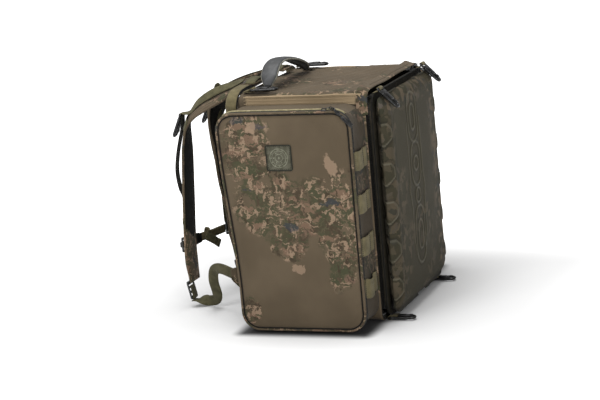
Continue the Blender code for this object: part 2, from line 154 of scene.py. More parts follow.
def basis(along, across):
    """A turn that lays X along, Y across and Z square to both."""
    return Matrix((along, across, along.cross(across))).transposed().to_4x4()


# ---- materials ------------------------------------------------------------------------
class Look:
    """One material's node tree, with short calls for the nodes that it needs."""

    def __init__(self, name, roughness=0.8, sheen=0.0, coat=0.0, specular=0.25):
        self.material = bpy.data.materials.new(name)
        self.material.use_nodes = True
        self.tree = self.material.node_tree
        self.shader = self.tree.nodes["Principled BSDF"]
        self.shader.inputs["Roughness"].default_value = roughness
        self.shader.inputs["Sheen Weight"].default_value = sheen
        self.shader.inputs["Coat Weight"].default_value = coat
        self.shader.inputs["Specular IOR Level"].default_value = specular
        self.place = self.node("ShaderNodeTexCoord").outputs["Object"]

    def node(self, kind, inputs=(), **settings):
        node = self.tree.nodes.new(kind)
        for key, value in settings.items():
            setattr(node, key, value)
        for key, value in dict(inputs).items():
            self.feed(node.inputs[key], value)
        return node

    def feed(self, socket, value):
        if isinstance(value, bpy.types.NodeSocket):
            self.tree.links.new(value, socket)
        else:
            socket.default_value = value

    def math(self, operation, a, b=0.0, limit=False):
        return self.node("ShaderNodeMath", {0: a, 1: b}, operation=operation,
                         use_clamp=limit).outputs[0]

    def times(self, a, b):
        return self.math("MULTIPLY", a, b)

    def plus(self, a, b, limit=False):
        return self.math("ADD", a, b, limit=limit)

    def minus(self, a, b):
        return self.math("SUBTRACT", a, b)

    def vector(self, operation, a, b=(0, 0, 0)):
        node = self.node("ShaderNodeVectorMath", {0: a, 1: b}, operation=operation)
        return node.outputs["Value" if operation in ("LENGTH", "DISTANCE") else "Vector"]

    def scaled(self, vector, factor):
        factors = (factor,) * 3 if isinstance(factor, float) else factor
        return self.vector("MULTIPLY", vector, factors)

    def mix(self, factor, a, b, blend="MIX"):
        node = self.node("ShaderNodeMix", data_type="RGBA", blend_type=blend)
        self.feed(node.inputs["Factor"], factor)
        self.feed(node.inputs[6], a)
        self.feed(node.inputs[7], b)
        return node.outputs[2]

    def noise(self, vector, scale, detail=2.0, rough=0.5, colour=False):
        node = self.node("ShaderNodeTexNoise", {"Vector": vector, "Scale": scale, "Detail": detail,
                                                "Roughness": rough})
        return node.outputs["Color" if colour else "Fac"]

    def step(self, value, low, high):
        """0 below low, 1 above high, smooth between."""
        node = self.node("ShaderNodeMapRange", {"Value": value, "From Min": low, "From Max": high},
                         interpolation_type="SMOOTHSTEP")
        return node.outputs["Result"]

    def axes(self, vector):
        return self.node("ShaderNodeSeparateXYZ", {0: vector}).outputs

    def attribute(self, name, output="Fac"):
        return self.node("ShaderNodeAttribute", attribute_name=name).outputs[output]

    def colour(self, value):
        self.feed(self.shader.inputs["Base Color"], value)

    def rough(self, value):
        self.feed(self.shader.inputs["Roughness"], value)

    def bump(self, height, strength, distance=0.001):
        node = self.node("ShaderNodeBump", {"Height": height, "Strength": strength,
                                            "Distance": distance})
        self.tree.links.new(node.outputs["Normal"], self.shader.inputs["Normal"])

    def weave(self, pitch=0.0011):
        """The height of a plain weave on any face that lies square to an axis."""
        waves = [self.math("SINE", self.times(axis, 2 * math.pi / pitch))
                 for axis in self.axes(self.place)]
        return self.plus(self.plus(waves[0], waves[1]), waves[2])


PLAIN = srgb(102, 89, 71)
PLAIN_DARK = srgb(90, 78, 61)
LEAF_TAN = srgb(152, 129, 107)
LEAF_PINK = srgb(126, 101, 83)
LEAF_GREEN = srgb(70, 71, 50)
LEAF_BROWN = srgb(68, 57, 43)
LEAF_SLATE = srgb(50, 58, 68)

# y, z, half-height across and along, and turn, of each printed cluster on the pocket faces
CLUSTERS = ((0.092, 0.400, 0.052, 0.075, 0.2), (0.062, 0.290, 0.060, 0.075, 0.4),
            (-0.010, 0.265, 0.085, 0.055, -0.5), (-0.100, 0.255, 0.045, 0.090, 0.2),
            (0.012, 0.205, 0.040, 0.045, 0.0), (-0.100, 0.165, 0.032, 0.070, 0.1),
            (0.118, 0.046, 0.024, 0.034, 0.6))
# the same for single large leaves
BIG_LEAVES = ((-0.088, 0.357, 0.013, 0.024, -0.4), (-0.004, 0.140, 0.013, 0.012, 0.5),
              (0.078, 0.438, 0.010, 0.016, 0.7))


def camo_look(name, density=0.0, painted_light_gain=1.0, placed=False):
    """A leaf print. density raises how much of the plain cloth is covered with leaves. The light
    gain multiplies the whole colour: above 1 it is painted light, below 1 painted shade.
    """
    look = Look(name, roughness=0.88, sheen=0.04, specular=0.15)
    place = look.place
    wobble = look.vector("SUBTRACT", look.noise(place, 30, 3, 0.6, True), (0.5, 0.5, 0.5))
    jag = look.vector("SUBTRACT", look.noise(place, 210, 2, 0.6, True), (0.5, 0.5, 0.5))
    bent = look.vector("ADD", place, look.scaled(wobble, 0.040))
    bent = look.vector("ADD", bent, look.scaled(jag, 0.010))

    def leaves(turn, stretch, scale, low):
        """Ragged strokes: 1 where a stroke is printed, with each stroke's own random number."""
        turned = look.node("ShaderNodeMapping", {"Vector": bent, "Rotation": turn,
                                                 "Scale": stretch}).outputs[0]
        cells = look.node("ShaderNodeTexVoronoi", {"Vector": turned, "Scale": scale}, feature="F1")
        shade = look.axes(cells.outputs["Color"])
        shape = look.minus(1.0, look.step(cells.outputs["Distance"], low, low + 0.10))
        return shape, shade

    broad, broad_pick = leaves((0.7, 0.3, 0.5), (1.0, 0.46, 1.3), 50.0, 0.46)
    fine, fine_pick = leaves((-0.6, 0.2, -0.4), (1.0, 1.5, 0.42), 88.0, 0.42)
    twig, twig_pick = leaves((1.0, 0.0, 0.2), (1.0, 0.28, 1.9), 110.0, 0.36)
    cover = look.step(look.noise(place, 8.0, 2, 0.5), 0.48 - density, 0.64 - density)
    if placed:
        y, z = look.axes(bent)[1:3]
        face = look.step(look.math("ABSOLUTE", look.axes(place)[0]), 0.250, 0.256)

        def blob(spec, soft):
            cy, cz, ry, rz, turn = spec
            dy = look.minus(y, cy)
            dz = look.minus(z, cz)
            c, s = math.cos(turn), math.sin(turn)
            u = look.plus(look.times(dy, c / ry), look.times(dz, s / ry))
            v = look.minus(look.times(dz, c / rz), look.times(dy, s / rz))
            far = look.math("SQRT", look.plus(look.times(u, u),
                                              look.times(v, v)))
            return look.minus(1.0, look.step(far, 1 - soft, 1 + soft))

        groups = blob(CLUSTERS[0], 0.45)
        for spec in CLUSTERS[1:]:
            groups = look.math("MAXIMUM", groups, blob(spec, 0.45))
        stars = blob(BIG_LEAVES[0], 0.10)
        for spec in BIG_LEAVES[1:]:
            stars = look.math("MAXIMUM", stars, blob(spec, 0.10))
        cover = look.plus(look.times(cover, look.minus(1.0, face)),
                          look.times(groups, face))
        stars = look.times(stars, face)

    def printed(shape, chance, low, weight):
        """Where strokes show: only those whose own number passes low, and only under cover."""
        shown = look.times(look.step(chance, low, low + 0.04), look.step(cover, 0.25, 0.55))
        return look.times(look.times(shape, shown), weight)

    drift = look.noise(place, 24, 3, 0.6)
    colour = look.mix(look.step(look.noise(place, 7, 3, 0.55), 0.35, 0.7), PLAIN, PLAIN_DARK)
    shadow = look.mix(look.step(drift, 0.42, 0.60), LEAF_GREEN, LEAF_BROWN)
    ground = look.times(look.step(look.noise(bent, 30, 3, 0.65), 0.42, 0.52),
                       look.step(cover, 0.2, 0.7))
    colour = look.mix(look.times(ground, 0.85), colour, shadow)
    colour = look.mix(printed(broad, broad_pick[0], 0.58, 0.75), colour, LEAF_PINK)
    colour = look.mix(printed(broad, broad_pick[1], 0.70, 0.85), colour, LEAF_GREEN)
    colour = look.mix(printed(fine, fine_pick[0], 0.50, 0.85), colour, LEAF_TAN)
    colour = look.mix(printed(fine, fine_pick[1], 0.62, 0.85), colour, LEAF_BROWN)
    colour = look.mix(printed(twig, twig_pick[0], 0.55, 0.75), colour, LEAF_TAN)
    colour = look.mix(printed(twig, twig_pick[1], 0.66, 0.85), colour, LEAF_GREEN)
    colour = look.mix(printed(broad, broad_pick[2], 0.92, 0.60), colour, LEAF_SLATE)
    if placed:
        colour = look.mix(look.times(stars, 0.75), colour, LEAF_TAN)
    # painted light and shade: the whole print is multiplied by the light gain
    if painted_light_gain != 1:
        colour = look.mix(1.0, colour, (painted_light_gain, painted_light_gain, painted_light_gain * 0.97, 1), "MULTIPLY")
    look.colour(colour)
    grain = look.plus(look.times(look.weave(), 0.25), look.noise(place, 420, 2))
    look.bump(grain, 0.25, 0.0006)
    return look.material


def eva_look():
    """Cloth-faced moulded foam: dull, printed near its side edges, paler along raised lines as wear
    with a painted highlight, darker in grooves as painted shade.
    """
    look = Look("moulded_eva", roughness=0.72, sheen=0.0, specular=0.14)
    place = look.place
    wobble = look.vector("SUBTRACT", look.noise(place, 30, 3, 0.6, True), (0.5, 0.5, 0.5))
    bent = look.vector("ADD", place, look.scaled(wobble, 0.04))
    leaf = look.node("ShaderNodeTexVoronoi", {"Vector": bent, "Scale": 75.0}, feature="F1")
    pick, other, third = look.axes(leaf.outputs["Color"])
    x, _, z = look.axes(place)
    middle = look.plus(x, 0.010)
    edge = look.plus(look.step(middle, 0.095, 0.140),
                     look.times(look.step(middle, -0.115, -0.160), 0.45))
    high = look.step(z, 0.425, 0.450)
    cover = look.plus(look.times(edge, 0.85), look.times(high, 0.6), limit=True)
    patches = look.times(look.step(look.noise(place, 9, 2), 0.46, 0.60), 0.45)
    cover = look.math("MAXIMUM", cover, patches)
    base = look.mix(look.noise(place, 12, 4), srgb(53, 49, 35), srgb(66, 61, 45))

    def spots(value, low, weight):
        shown = look.times(look.step(value, low, low + 0.04), cover)
        return look.times(shown, weight)

    colour = look.mix(spots(pick, 0.56, 0.62), base, srgb(122, 106, 88))
    colour = look.mix(spots(other, 0.66, 0.70), colour, srgb(46, 47, 34))
    colour = look.mix(spots(third, 0.84, 0.50), colour, srgb(52, 56, 60))
    # paler along raised lines: partly wear, partly a painted highlight on the ridges
    ridge = look.attribute("ridge")
    colour = look.mix(look.times(ridge, 0.62), colour, srgb(116, 112, 96))
    # darker in grooves and by the slit behind the side wall: painted shade
    groove_shade = look.attribute("groove_shade")
    colour = look.mix(look.times(groove_shade, 0.78), colour, srgb(27, 25, 19))
    look.colour(colour)
    look.rough(look.minus(0.74, look.times(ridge, 0.18)))
    look.bump(look.plus(look.times(look.weave(0.0013), 0.2),
                        look.noise(place, 500, 2)), 0.2, 0.0005)
    return look.material


def webbing_look(name, colour, dark):
    """Woven webbing with lengthwise ribs, from the piece's own across and along."""
    look = Look(name, roughness=0.85, sheen=0.05, specular=0.15)
    across, along, _ = look.axes(look.attribute("weave", "Vector"))
    rib = look.math("SINE", look.times(across, 2 * math.pi / 0.0022))
    pick = look.math("SINE", look.times(along, 2 * math.pi / 0.0013))
    thread = look.plus(look.times(rib, 0.6), look.times(pick, 0.4))
    worn = look.noise(look.place, 60, 3, 0.6)
    tone = look.plus(look.times(thread, 0.16), look.step(worn, 0.25, 0.8), limit=True)
    look.colour(look.mix(tone, dark, colour))
    look.bump(thread, 0.45, 0.0005)
    return look.material


def plastic_look(name, colour, roughness, coat=0.0):
    look = Look(name, roughness=roughness, coat=coat, specular=0.3)
    place = look.place
    tone = look.noise(place, 90, 3, 0.6)
    pale = tuple(min(1, c * 1.6 + 0.004) for c in colour[:3]) + (1,)
    look.colour(look.mix(look.step(tone, 0.4, 0.8), colour, pale))
    look.rough(look.plus(roughness - 0.06, look.times(look.noise(place, 240, 2), 0.14)))
    look.bump(look.noise(place, 1500, 2), 0.12, 0.0003)
    return look.material


def mesh_look():
    """Spacer mesh: small open cells in a dark knit, with painted shade inside the cells."""
    look = Look("spacer_mesh", roughness=0.95, sheen=0.02, specular=0.1)
    cells = look.node("ShaderNodeTexVoronoi", {"Vector": look.place, "Scale": 330.0,
                                               "Randomness": 0.35}, feature="F1")
    hole = look.step(cells.outputs["Distance"], 0.25, 0.50)
    # the open cells are coloured darker than the knit: painted shade inside the holes
    look.colour(look.mix(hole, srgb(13, 13, 11), srgb(32, 31, 26)))
    look.bump(hole, 0.6, 0.0012)
    return look.material


def tape_look(name, colour, dark):
    look = Look(name, roughness=0.88, sheen=0.03, specular=0.15)
    wave = look.math("SINE", look.times(look.plus(look.axes(look.place)[2],
                     look.axes(look.place)[1]), 2 * math.pi / 0.0012))
    tone = look.plus(look.times(wave, 0.12), look.noise(look.place, 120, 3))
    look.colour(look.mix(look.step(tone, 0.3, 0.75), dark, colour))
    look.bump(look.plus(wave, look.noise(look.place, 700, 2)), 0.3, 0.0004)
    return look.material


def board_look():
    look = Look("stiffener_board", roughness=0.6)
    streak = look.noise(look.scaled(look.place, (3.0, 60.0, 60.0)), 6, 3)
    look.colour(look.mix(streak, srgb(112, 112, 110), srgb(134, 134, 131)))
    look.bump(look.noise(look.place, 900, 2), 0.15, 0.0003)
    return look.material


CAMO = camo_look("camo_fabric", density=0.02)
CAMO_POCKET = camo_look("camo_pocket", density=-0.02, placed=True)
# painted shade: the pocket gussets' camo at half brightness, for the dim light on their walls
CAMO_GUSSET_PAINTED_SHADE = camo_look("camo_gusset_painted_shade", density=0.02, painted_light_gain=0.50)
# painted light: the side strip's camo brightened 3.3 times, for the light falling on this band
PAINTED_LIGHT_STRIP = camo_look("camo_side_strip_painted_light", density=-0.5, painted_light_gain=3.3)
CAMO_TRIM = camo_look("camo_trim", density=0.06)
PLAIN_CAMO = camo_look("camo_plain", density=-0.5, painted_light_gain=0.95)
CAMO_STRAP = camo_look("camo_strap", density=0.08)
EVA = eva_look()
KHAKI = webbing_look("khaki_webbing", srgb(126, 116, 84), srgb(96, 88, 62))
OLIVE = webbing_look("olive_webbing", srgb(104, 99, 72), srgb(76, 73, 50))
DARK_WEB = webbing_look("dark_webbing", srgb(46, 46, 35), srgb(28, 28, 21))
BLACK = plastic_look("black_plastic", srgb(12, 12, 12), 0.33, 0.1)
GREY = plastic_look("grey_plastic", srgb(46, 49, 48), 0.42, 0.05)
RUBBER = plastic_look("grip_rubber", srgb(64, 65, 66), 0.55)
SPACER = mesh_look()
ZIP_TAPE = tape_look("zip_tape", srgb(178, 168, 132), srgb(140, 131, 98))
DARK_TAPE = tape_look("dark_binding", srgb(26, 24, 20), srgb(15, 14, 11))
LINING = tape_look("lining", srgb(60, 57, 44), srgb(46, 44, 33))
PALE_TRIM = tape_look("pale_trim", srgb(150, 148, 136), srgb(104, 102, 92))
PATCH = tape_look("patch_cloth", srgb(104, 102, 88), srgb(77, 76, 62))
THREAD_PALE = tape_look("thread_pale", srgb(150, 150, 130), srgb(116, 116, 98))
THREAD_DARK = tape_look("thread_dark", srgb(52, 47, 34), srgb(34, 31, 22))
BOARD = board_look()


# ---- mesh building --------------------------------------------------------------------
class Form:
    """Gathers faces into one mesh, with one slot per material used."""

    def __init__(self, name):
        self.name = name
        self.bm = bmesh.new()
        self.weave = self.bm.verts.layers.float_vector.new("weave")
        self.looks = []
        self.current = 0

    def use(self, look):
        if look not in self.looks:
            self.looks.append(look)
        self.current = self.looks.index(look)
        return self

    def face(self, corners):
        made = self.bm.faces.new(corners)
        made.material_index = self.current
        made.smooth = True
        return made

    def skin(self, rings, ring_closed=True, path_closed=False, caps=True, weave=None):
        """Quads between rings of points; weave gives (across, along) for each of them."""
        rows = []
        for i, ring in enumerate(rings):
            row = [self.bm.verts.new(p) for p in ring]
            if weave:
                for vert, pair in zip(row, weave[i]):
                    vert[self.weave] = Vector((pair[0], pair[1], 0))
            rows.append(row)
        count = len(rows[0])
        pairs = list(zip(rows, rows[1:])) + ([(rows[-1], rows[0])] if path_closed else [])
        for a, b in pairs:
            for i in range(count if ring_closed else count - 1):
                j = (i + 1) % count
                self.face((a[i], a[j], b[j], b[i]))
        if caps and ring_closed and not path_closed:
            self.face(tuple(reversed(rows[0])))
            self.face(tuple(rows[-1]))

    def tube(self, path, radius, sides=8, closed=False, flat=1.0, up=None):
        """A round rod along path; flat squashes it along its second axis."""
        path = [Vector(p[:3]) for p in path]
        count = len(path)
        rings = []
        normal = None
        for i, point in enumerate(path):
            ahead = path[(i + 1) % count] if closed or i + 1 < count else point
            behind = path[i - 1] if closed or i else point
            tangent = (ahead - behind).normalized()
            if up is not None:
                normal = tangent.cross(Vector(up)).cross(tangent).normalized()
            elif normal is None:
                seed = X_AXIS if abs(tangent.x) < 0.8 else Z_AXIS
                normal = tangent.cross(seed).normalized()
            else:
                normal = (normal - tangent * normal.dot(tangent)).normalized()
            other = tangent.cross(normal)
            rings.append([point + (other * math.cos(a) + normal * math.sin(a) * flat) * radius
                          for a in (2 * math.pi * k / sides for k in range(sides))])
        self.skin(rings, path_closed=closed)
        return self

    def band(self, path, across, width, thick, spacing=0.004):
        """Webbing along path. across is one vector, or one for each point of path."""
        many = not isinstance(across, Vector)
        rows = [tuple(p) + tuple(across[i] if many else across) for i, p in enumerate(path)]
        fine = catmull(rows, spacing)
        profile = ((-1, 0), (-0.94, 1), (-0.5, 1), (0, 1), (0.5, 1), (0.94, 1),
                   (1, 0), (0.94, -1), (0.5, -1), (0, -1), (-0.5, -1), (-0.94, -1))
        rings, weave, run = [], [], 0.0
        for i, row in enumerate(fine):
            point = Vector(row[:3])
            behind, ahead = beside(fine, i)
            tangent = (Vector(ahead[:3]) - Vector(behind[:3])).normalized()
            side = Vector(row[3:])
            side = (side - tangent * side.dot(tangent)).normalized()
            normal = tangent.cross(side)
            if i:
                run += (point - Vector(fine[i - 1][:3])).length
            rings.append([point + side * u * width / 2 + normal * v * thick / 2
                          for u, v in profile])
            weave.append([(u * width / 2, run) for u, v in profile])
        self.skin(rings, weave=weave)
        return self

    def tooth(self, centre, along, across, out, profile):
        """One zip tooth, with its profile given across and outward."""
        self.skin([[centre + along * t + across * u + out * v for u, v in profile]
                   for t in (-0.0008, 0.0008)])

    def block(self, low, high, radius, matrix=None):
        """A box with rounded edges, placed by matrix."""
        low, high = Vector(low), Vector(high)
        place = Matrix.Translation((low + high) / 2) @ Matrix.Diagonal((*(high - low), 1))
        made = bmesh.ops.create_cube(self.bm, size=1, matrix=place)["verts"]
        edges = list(dict.fromkeys(e for v in made for e in v.link_edges))
        out = bmesh.ops.bevel(self.bm, geom=edges, offset=radius, segments=3, profile=0.5,
                              affect="EDGES")
        verts = {v for f in out["faces"] for v in f.verts}
        verts |= {v for v in made if v.is_valid}
        faces = {f for v in verts for f in v.link_faces}
        verts = {v for f in faces for v in f.verts}
        for f in faces:
            f.material_index = self.current
            f.smooth = True
        if matrix:
            bmesh.ops.transform(self.bm, matrix=matrix, verts=list(verts))
        return self

    def plate(self, outlines, thickness, matrix, bevel=0.0008):
        """A flat moulding with rounded edges: the first outline is its edge, others are holes."""
        curve = bpy.data.curves.new("outline", "CURVE")
        curve.dimensions = "2D"
        curve.fill_mode = "BOTH"
        curve.extrude = thickness / 2 - bevel
        curve.bevel_depth = bevel
        curve.bevel_resolution = 2
        curve.offset = -bevel
        for outline in outlines:
            line = curve.splines.new("POLY")
            line.points.add(len(outline) - 1)
            for point, (u, v) in zip(line.points, outline):
                point.co = (u, v, 0, 1)
            line.use_cyclic_u = True
        holder = linked("outline", curve)
        bpy.context.view_layer.update()
        ready = holder.evaluated_get(bpy.context.evaluated_depsgraph_get())
        mesh = bpy.data.meshes.new_from_object(ready)
        mesh.transform(matrix)
        bpy.data.objects.remove(holder)
        bpy.data.curves.remove(curve)
        self.add_mesh(mesh)
        return self

    def add_mesh(self, mesh):
        before = len(self.bm.faces)
        self.bm.from_mesh(mesh)
        self.bm.faces.ensure_lookup_table()
        fresh = self.bm.faces[before:]
        for f in fresh:
            f.material_index = self.current
            f.smooth = True
        verts = list({v for f in fresh for v in f.verts})
        bmesh.ops.remove_doubles(self.bm, verts=verts, dist=0.00001)
        bpy.data.meshes.remove(mesh)

    def stitches(self, path, normal, length=0.0030, gap=0.0014, radius=0.00038):
        """Dashes of thread lying along path, on the side that normal points to."""
        fine = [Vector(p[:3]) for p in catmull(path, length / 2)]
        carried, run = 0.0, 0.0
        for a, b in zip(fine, fine[1:]):
            seg = (b - a).length
            along = (b - a) / seg
            while carried < run + seg:
                at = a + along * (carried - run)
                side = along.cross(normal).normalized()
                ends = []
                for t, size in ((0, 0.35), (0.18, 1), (0.82, 1), (1, 0.35)):
                    centre = at + along * length * t
                    ends.append([centre + side * radius * size,
                                 centre + normal * radius * 1.3 * size,
                                 centre - side * radius * size,
                                 centre - normal * radius * 0.6 * size])
                self.skin(ends)
                carried += length + gap
            run += seg
        return self

    def make(self, body, slot, replaces=()):
        bmesh.ops.recalc_face_normals(self.bm, faces=self.bm.faces)
        mesh = bpy.data.meshes.new(self.name)
        self.bm.to_mesh(mesh)
        self.bm.free()
        for look in self.looks:
            mesh.materials.append(look)
        return wrap(self.name, mesh, body, replaces)


def read_points(mesh):
    flat = np.empty(len(mesh.vertices) * 3)
    mesh.vertices.foreach_get("co", flat)
    normals = np.array([v.normal for v in mesh.vertices])
    return flat.reshape(-1, 3), normals


def write_points(mesh, points):
    mesh.vertices.foreach_set("co", np.ascontiguousarray(points).ravel())
    mesh.update()


def store(mesh, name, values):
    layer = mesh.attributes.new(name, "FLOAT", "POINT")
    layer.data.foreach_set("value", np.asarray(values, dtype=np.float32))


def rounded_box(name, low, high, radii, cell, look, skip=()):
    """A finely divided box whose corner radius may differ at each of its six sides.

    radii holds (low, high) for x, y and z; skip names faces to leave out, such as "+Y".
    """
    low, high = np.array(low, float), np.array(high, float)
    ticks = [np.linspace(low[a], high[a], max(3, int(round((high[a] - low[a]) / cell)) + 1))
             for a in range(3)]
    bm = bmesh.new()
    for axis in range(3):
        u_axis, v_axis = (axis + 1) % 3, (axis + 2) % 3
        for sign, edge in (("-", low), ("+", high)):
            if f"{sign}{'XYZ'[axis]}" in skip:
                continue
            grid = []
            for u in ticks[u_axis]:
                row = []
                for v in ticks[v_axis]:
                    p = np.empty(3)
                    p[axis], p[u_axis], p[v_axis] = edge[axis], u, v
                    row.append(bm.verts.new(p))
                grid.append(row)
            for a, b in zip(grid, grid[1:]):
                for i in range(len(a) - 1):
                    bm.faces.new((a[i], a[i + 1], b[i + 1], b[i]))
    bmesh.ops.remove_doubles(bm, verts=bm.verts, dist=0.00001)
    for vert in bm.verts:
        p = np.array(vert.co)
        centre = (low + high) / 2
        inner, r = p.copy(), np.ones(3)
        for a in range(3):
            r[a] = max(radii[a][0] if p[a] < centre[a] else radii[a][1], 1e-6)
            inner[a] = clamp(p[a], low[a] + radii[a][0], high[a] - radii[a][1])
        d = (p - inner) / r
        length = np.linalg.norm(d)
        if length > 1e-9:
            vert.co = inner + r * d / length
    bmesh.ops.recalc_face_normals(bm, faces=bm.faces)
    for face in bm.faces:
        face.smooth = True
    mesh = bpy.data.meshes.new(name)
    bm.to_mesh(mesh)
    bm.free()
    mesh.materials.append(look)
    return mesh


def thicken(obj, thickness, inner_look, offset=-1):
    """Gives a sheet its thickness, with inner_look on its inside."""
    obj.data.materials.append(inner_look)
    solid = obj.modifiers.new("wall", "SOLIDIFY")
    solid.thickness = thickness
    solid.offset = offset
    solid.material_offset = len(obj.data.materials) - 1
    solid.material_offset_rim = 0
    bpy.context.view_layer.update()
    ready = obj.evaluated_get(bpy.context.evaluated_depsgraph_get())
    mesh = bpy.data.meshes.new_from_object(ready)
    obj.modifiers.clear()
    obj.data = mesh


def wrap(name, mesh, body, replaces=()):
    obj = linked(name, mesh)
    if body:
        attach(obj, body)
    if replaces:
        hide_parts(*replaces)
    return obj


# ---- the main bag ---------------------------------------------------------------------
def make_body():
    low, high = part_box("main_shell")
    radius = 0.022
    mesh = rounded_box("body_shell", low, high, ((radius, radius), (0, radius), (radius, radius)),
                       0.006, CAMO, skip=("-Y",))
    points, normals = read_points(mesh)
    x, y, z = points.T
    top = ease(high.z - 0.012, high.z - 0.002, z) * ease(0.0, 0.05, y - low.y)
    across = x * 0.55 + y * 0.83
    bend = noise_at(points, (5, 7, 5), 3.1)
    fold = np.sin(across * 2 * math.pi / 0.066 + bend * 4.5)
    mask = ease(-0.25, 0.45, noise_at(points, (6, 9, 4), 8.7))
    crease = -0.0034 * mask * np.abs(fold) ** 0.7 - 0.0012 * (1 + noise_at(points, 22, 5.0))
    sag = -0.004 * ease(0.0, 0.10, high.x - np.abs(x)) * ease(0.0, 0.08, high.y - y)
    wall = -0.0016 * (1 + noise_at(points, (14, 14, 9), 1.7)) * (1 - top)
    edge = ease(0.0, 0.03, y - low.y)
    moved = points + normals * ((crease + sag) * top + wall * edge)[:, None]
    moved[:, 1] += 0.006 * ease(0.30, 0.46, z) * ease(0.02, high.y, y)
    write_points(mesh, moved)
    body = wrap("body_shell", mesh, "pack", ("main_shell",))
    thicken(body, 0.0045, LINING)

    rim = Form("body_rim").use(DARK_TAPE)
    inset = 0.0026
    outline = upright_rect(low, high, inset, radius - inset)
    rim.tube([(u, low.y + 0.0016, v) for u, v in outline], 0.0024, closed=True)
    rim.make("pack", "camo_fabric")

    back = Form("back_piping").use(CAMO_TRIM)
    inset = 0.006
    outline = upright_rect(low, high, inset, radius)
    back.tube([(u, high.y - 0.0062, v) for u, v in outline], 0.0026, closed=True)
    back.make("pack", "camo_fabric")

    seams = Form("side_seams")
    for side, sign in SIDES:
        strip = [Vector((sign * (high.x + 0.0004), y, 0.4770 + 0.0006 * math.sin(y * 50)))
                 for y in np.linspace(low.y + 0.008, high.y - 0.024, 24)]
        # the strip and its corded seams wear the brightened camo: painted light
        seams.use(PAINTED_LIGHT_STRIP).band(strip, Z_AXIS, 0.0230, 0.0018, spacing=0.006)
        for height, size in ((0.4675, 0.0011), (0.4720, 0.0008),
                             (0.4790, 0.0008), (0.4865, 0.0012)):
            path = [(sign * (high.x + 0.0012), y,
                     height + 0.0008 * noise.noise((y * 20, height, 1)))
                    for y in np.linspace(low.y + 0.006, high.y - 0.020, 50)]
            seams.tube(path, size, sides=6)
        seams.use(THREAD_DARK)
        seams.stitches([(sign * (high.x + 0.0014), y, 0.4830)
                        for y in np.linspace(low.y + 0.01, high.y - 0.03, 24)], X_AXIS * sign)
    seams.make("pack", "camo_fabric")

    flap = Form("storm_flap").use(CAMO)
    edge_x = high.x - radius
    path = [(-high.x - 0.0010, high.z - 0.050), (-high.x - 0.0012, high.z - 0.022),
            (-high.x + 0.006, high.z - 0.0052), (-edge_x, high.z + 0.0010)]
    path += [(x, high.z + 0.0012 + 0.0008 * math.sin(x * 41)) for x in np.linspace(-0.13, 0.13, 9)]
    path += [(-x, z) for x, z in reversed(path[:4])]
    inward = [Vector((0.25 * clamp(-x / 0.18, -1, 1), -1, -0.30)) for x, z in path]
    flap.band([Vector((x, -0.1370, z)) for x, z in path], inward, 0.0240, 0.0030)
    flap.use(THREAD_DARK).stitches([(x, -0.1400, z + 0.0010) for x, z in path[4:-4]], Z_AXIS)
    flap.make("pack", "camo_fabric")


def make_main_zip():
    """Tape and teeth round the front door, from one bottom corner over the top to the other."""
    low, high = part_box("main_zip_tape")
    y = (low.y + high.y) / 2
    corner = 0.020
    left = [(low.x + 0.002, z) for z in np.linspace(low.z, high.z - corner - 0.004, 8)]
    left += arc((low.x + 0.002 + corner, high.z - 0.002 - corner), corner, 180, 90, 18)
    line = left + [(-x, z) for x, z in reversed(left)]
    # the zip's tape and teeth are coloured near black as painted shade, so that they read as the
    # dark slit between door and body
    tape = Form("main_zip").use(DARK_TAPE)
    path = [Vector((x, y, z)) for x, z in line]
    tape.band(path, Y_AXIS, high.y - low.y - 0.0002, 0.0018)
    tape.use(BLACK)
    fine = catmull(path, 0.0026)
    for a, b in zip(fine, fine[1:]):
        a, b = Vector(a), Vector(b)
        along = (b - a).normalized()
        out = along.cross(Y_AXIS)
        tape.tooth(a + out * 0.0010, along, Y_AXIS, out,
                   ((-0.0020, 0), (-0.0013, 0.0009), (0.0013, 0.0009), (0.0020, 0)))
    tape.make("pack", "zip_tape", ("main_zip_tape",))


# ---- the moulded front ----------------------------------------------------------------
CELL_TOPS = (0.420, 0.338, 0.256, 0.174, 0.092)
CELL_SHAPE = ((0.262, 0.0), (0.172, 0.0), (0.157, -0.011),
              (0.157, -0.030), (0.188, -0.045), (0.262, -0.045))
# centre x, half-width, low z and high z of each raised rib in the middle
RIBS = ((-0.020, 0.030, 0.385, 0.432), (-0.020, 0.030, 0.290, 0.325), (-0.020, 0.015, 0.308, 0.308),
        (-0.020, 0.016, 0.238, 0.238), (-0.020, 0.030, 0.120, 0.185), (-0.020, 0.014, 0.135, 0.170),
        (-0.020, 0.014, 0.395, 0.422))


# the raised line on each side of the ribs: distance from the ribs' middle, and z
RAIL_LINE = ((0.030, 0.105), (0.044, 0.150), (0.044, 0.225),
             (0.052, 0.255), (0.044, 0.285), (0.044, 0.400))


def distance_to_line(s, z, line):
    best = np.full(len(s), 1.0)
    for (ax, az), (bx, bz) in zip(line, line[1:]):
        dx, dz = bx - ax, bz - az
        t = np.clip(((s - ax) * dx + (z - az) * dz) / (dx * dx + dz * dz), 0, 1)
        best = np.minimum(best, np.hypot(s - ax - t * dx, z - az - t * dz))
    return best


def inside(s, z, line):
    hit = np.zeros(len(s), bool)
    for (ax, az), (bx, bz) in zip(line, line[1:] + line[:1]):
        crosses = ((az > z) != (bz > z)) & (s < (bx - ax) * (z - az) / (bz - az + 1e-12) + ax)
        hit ^= crosses
    return hit


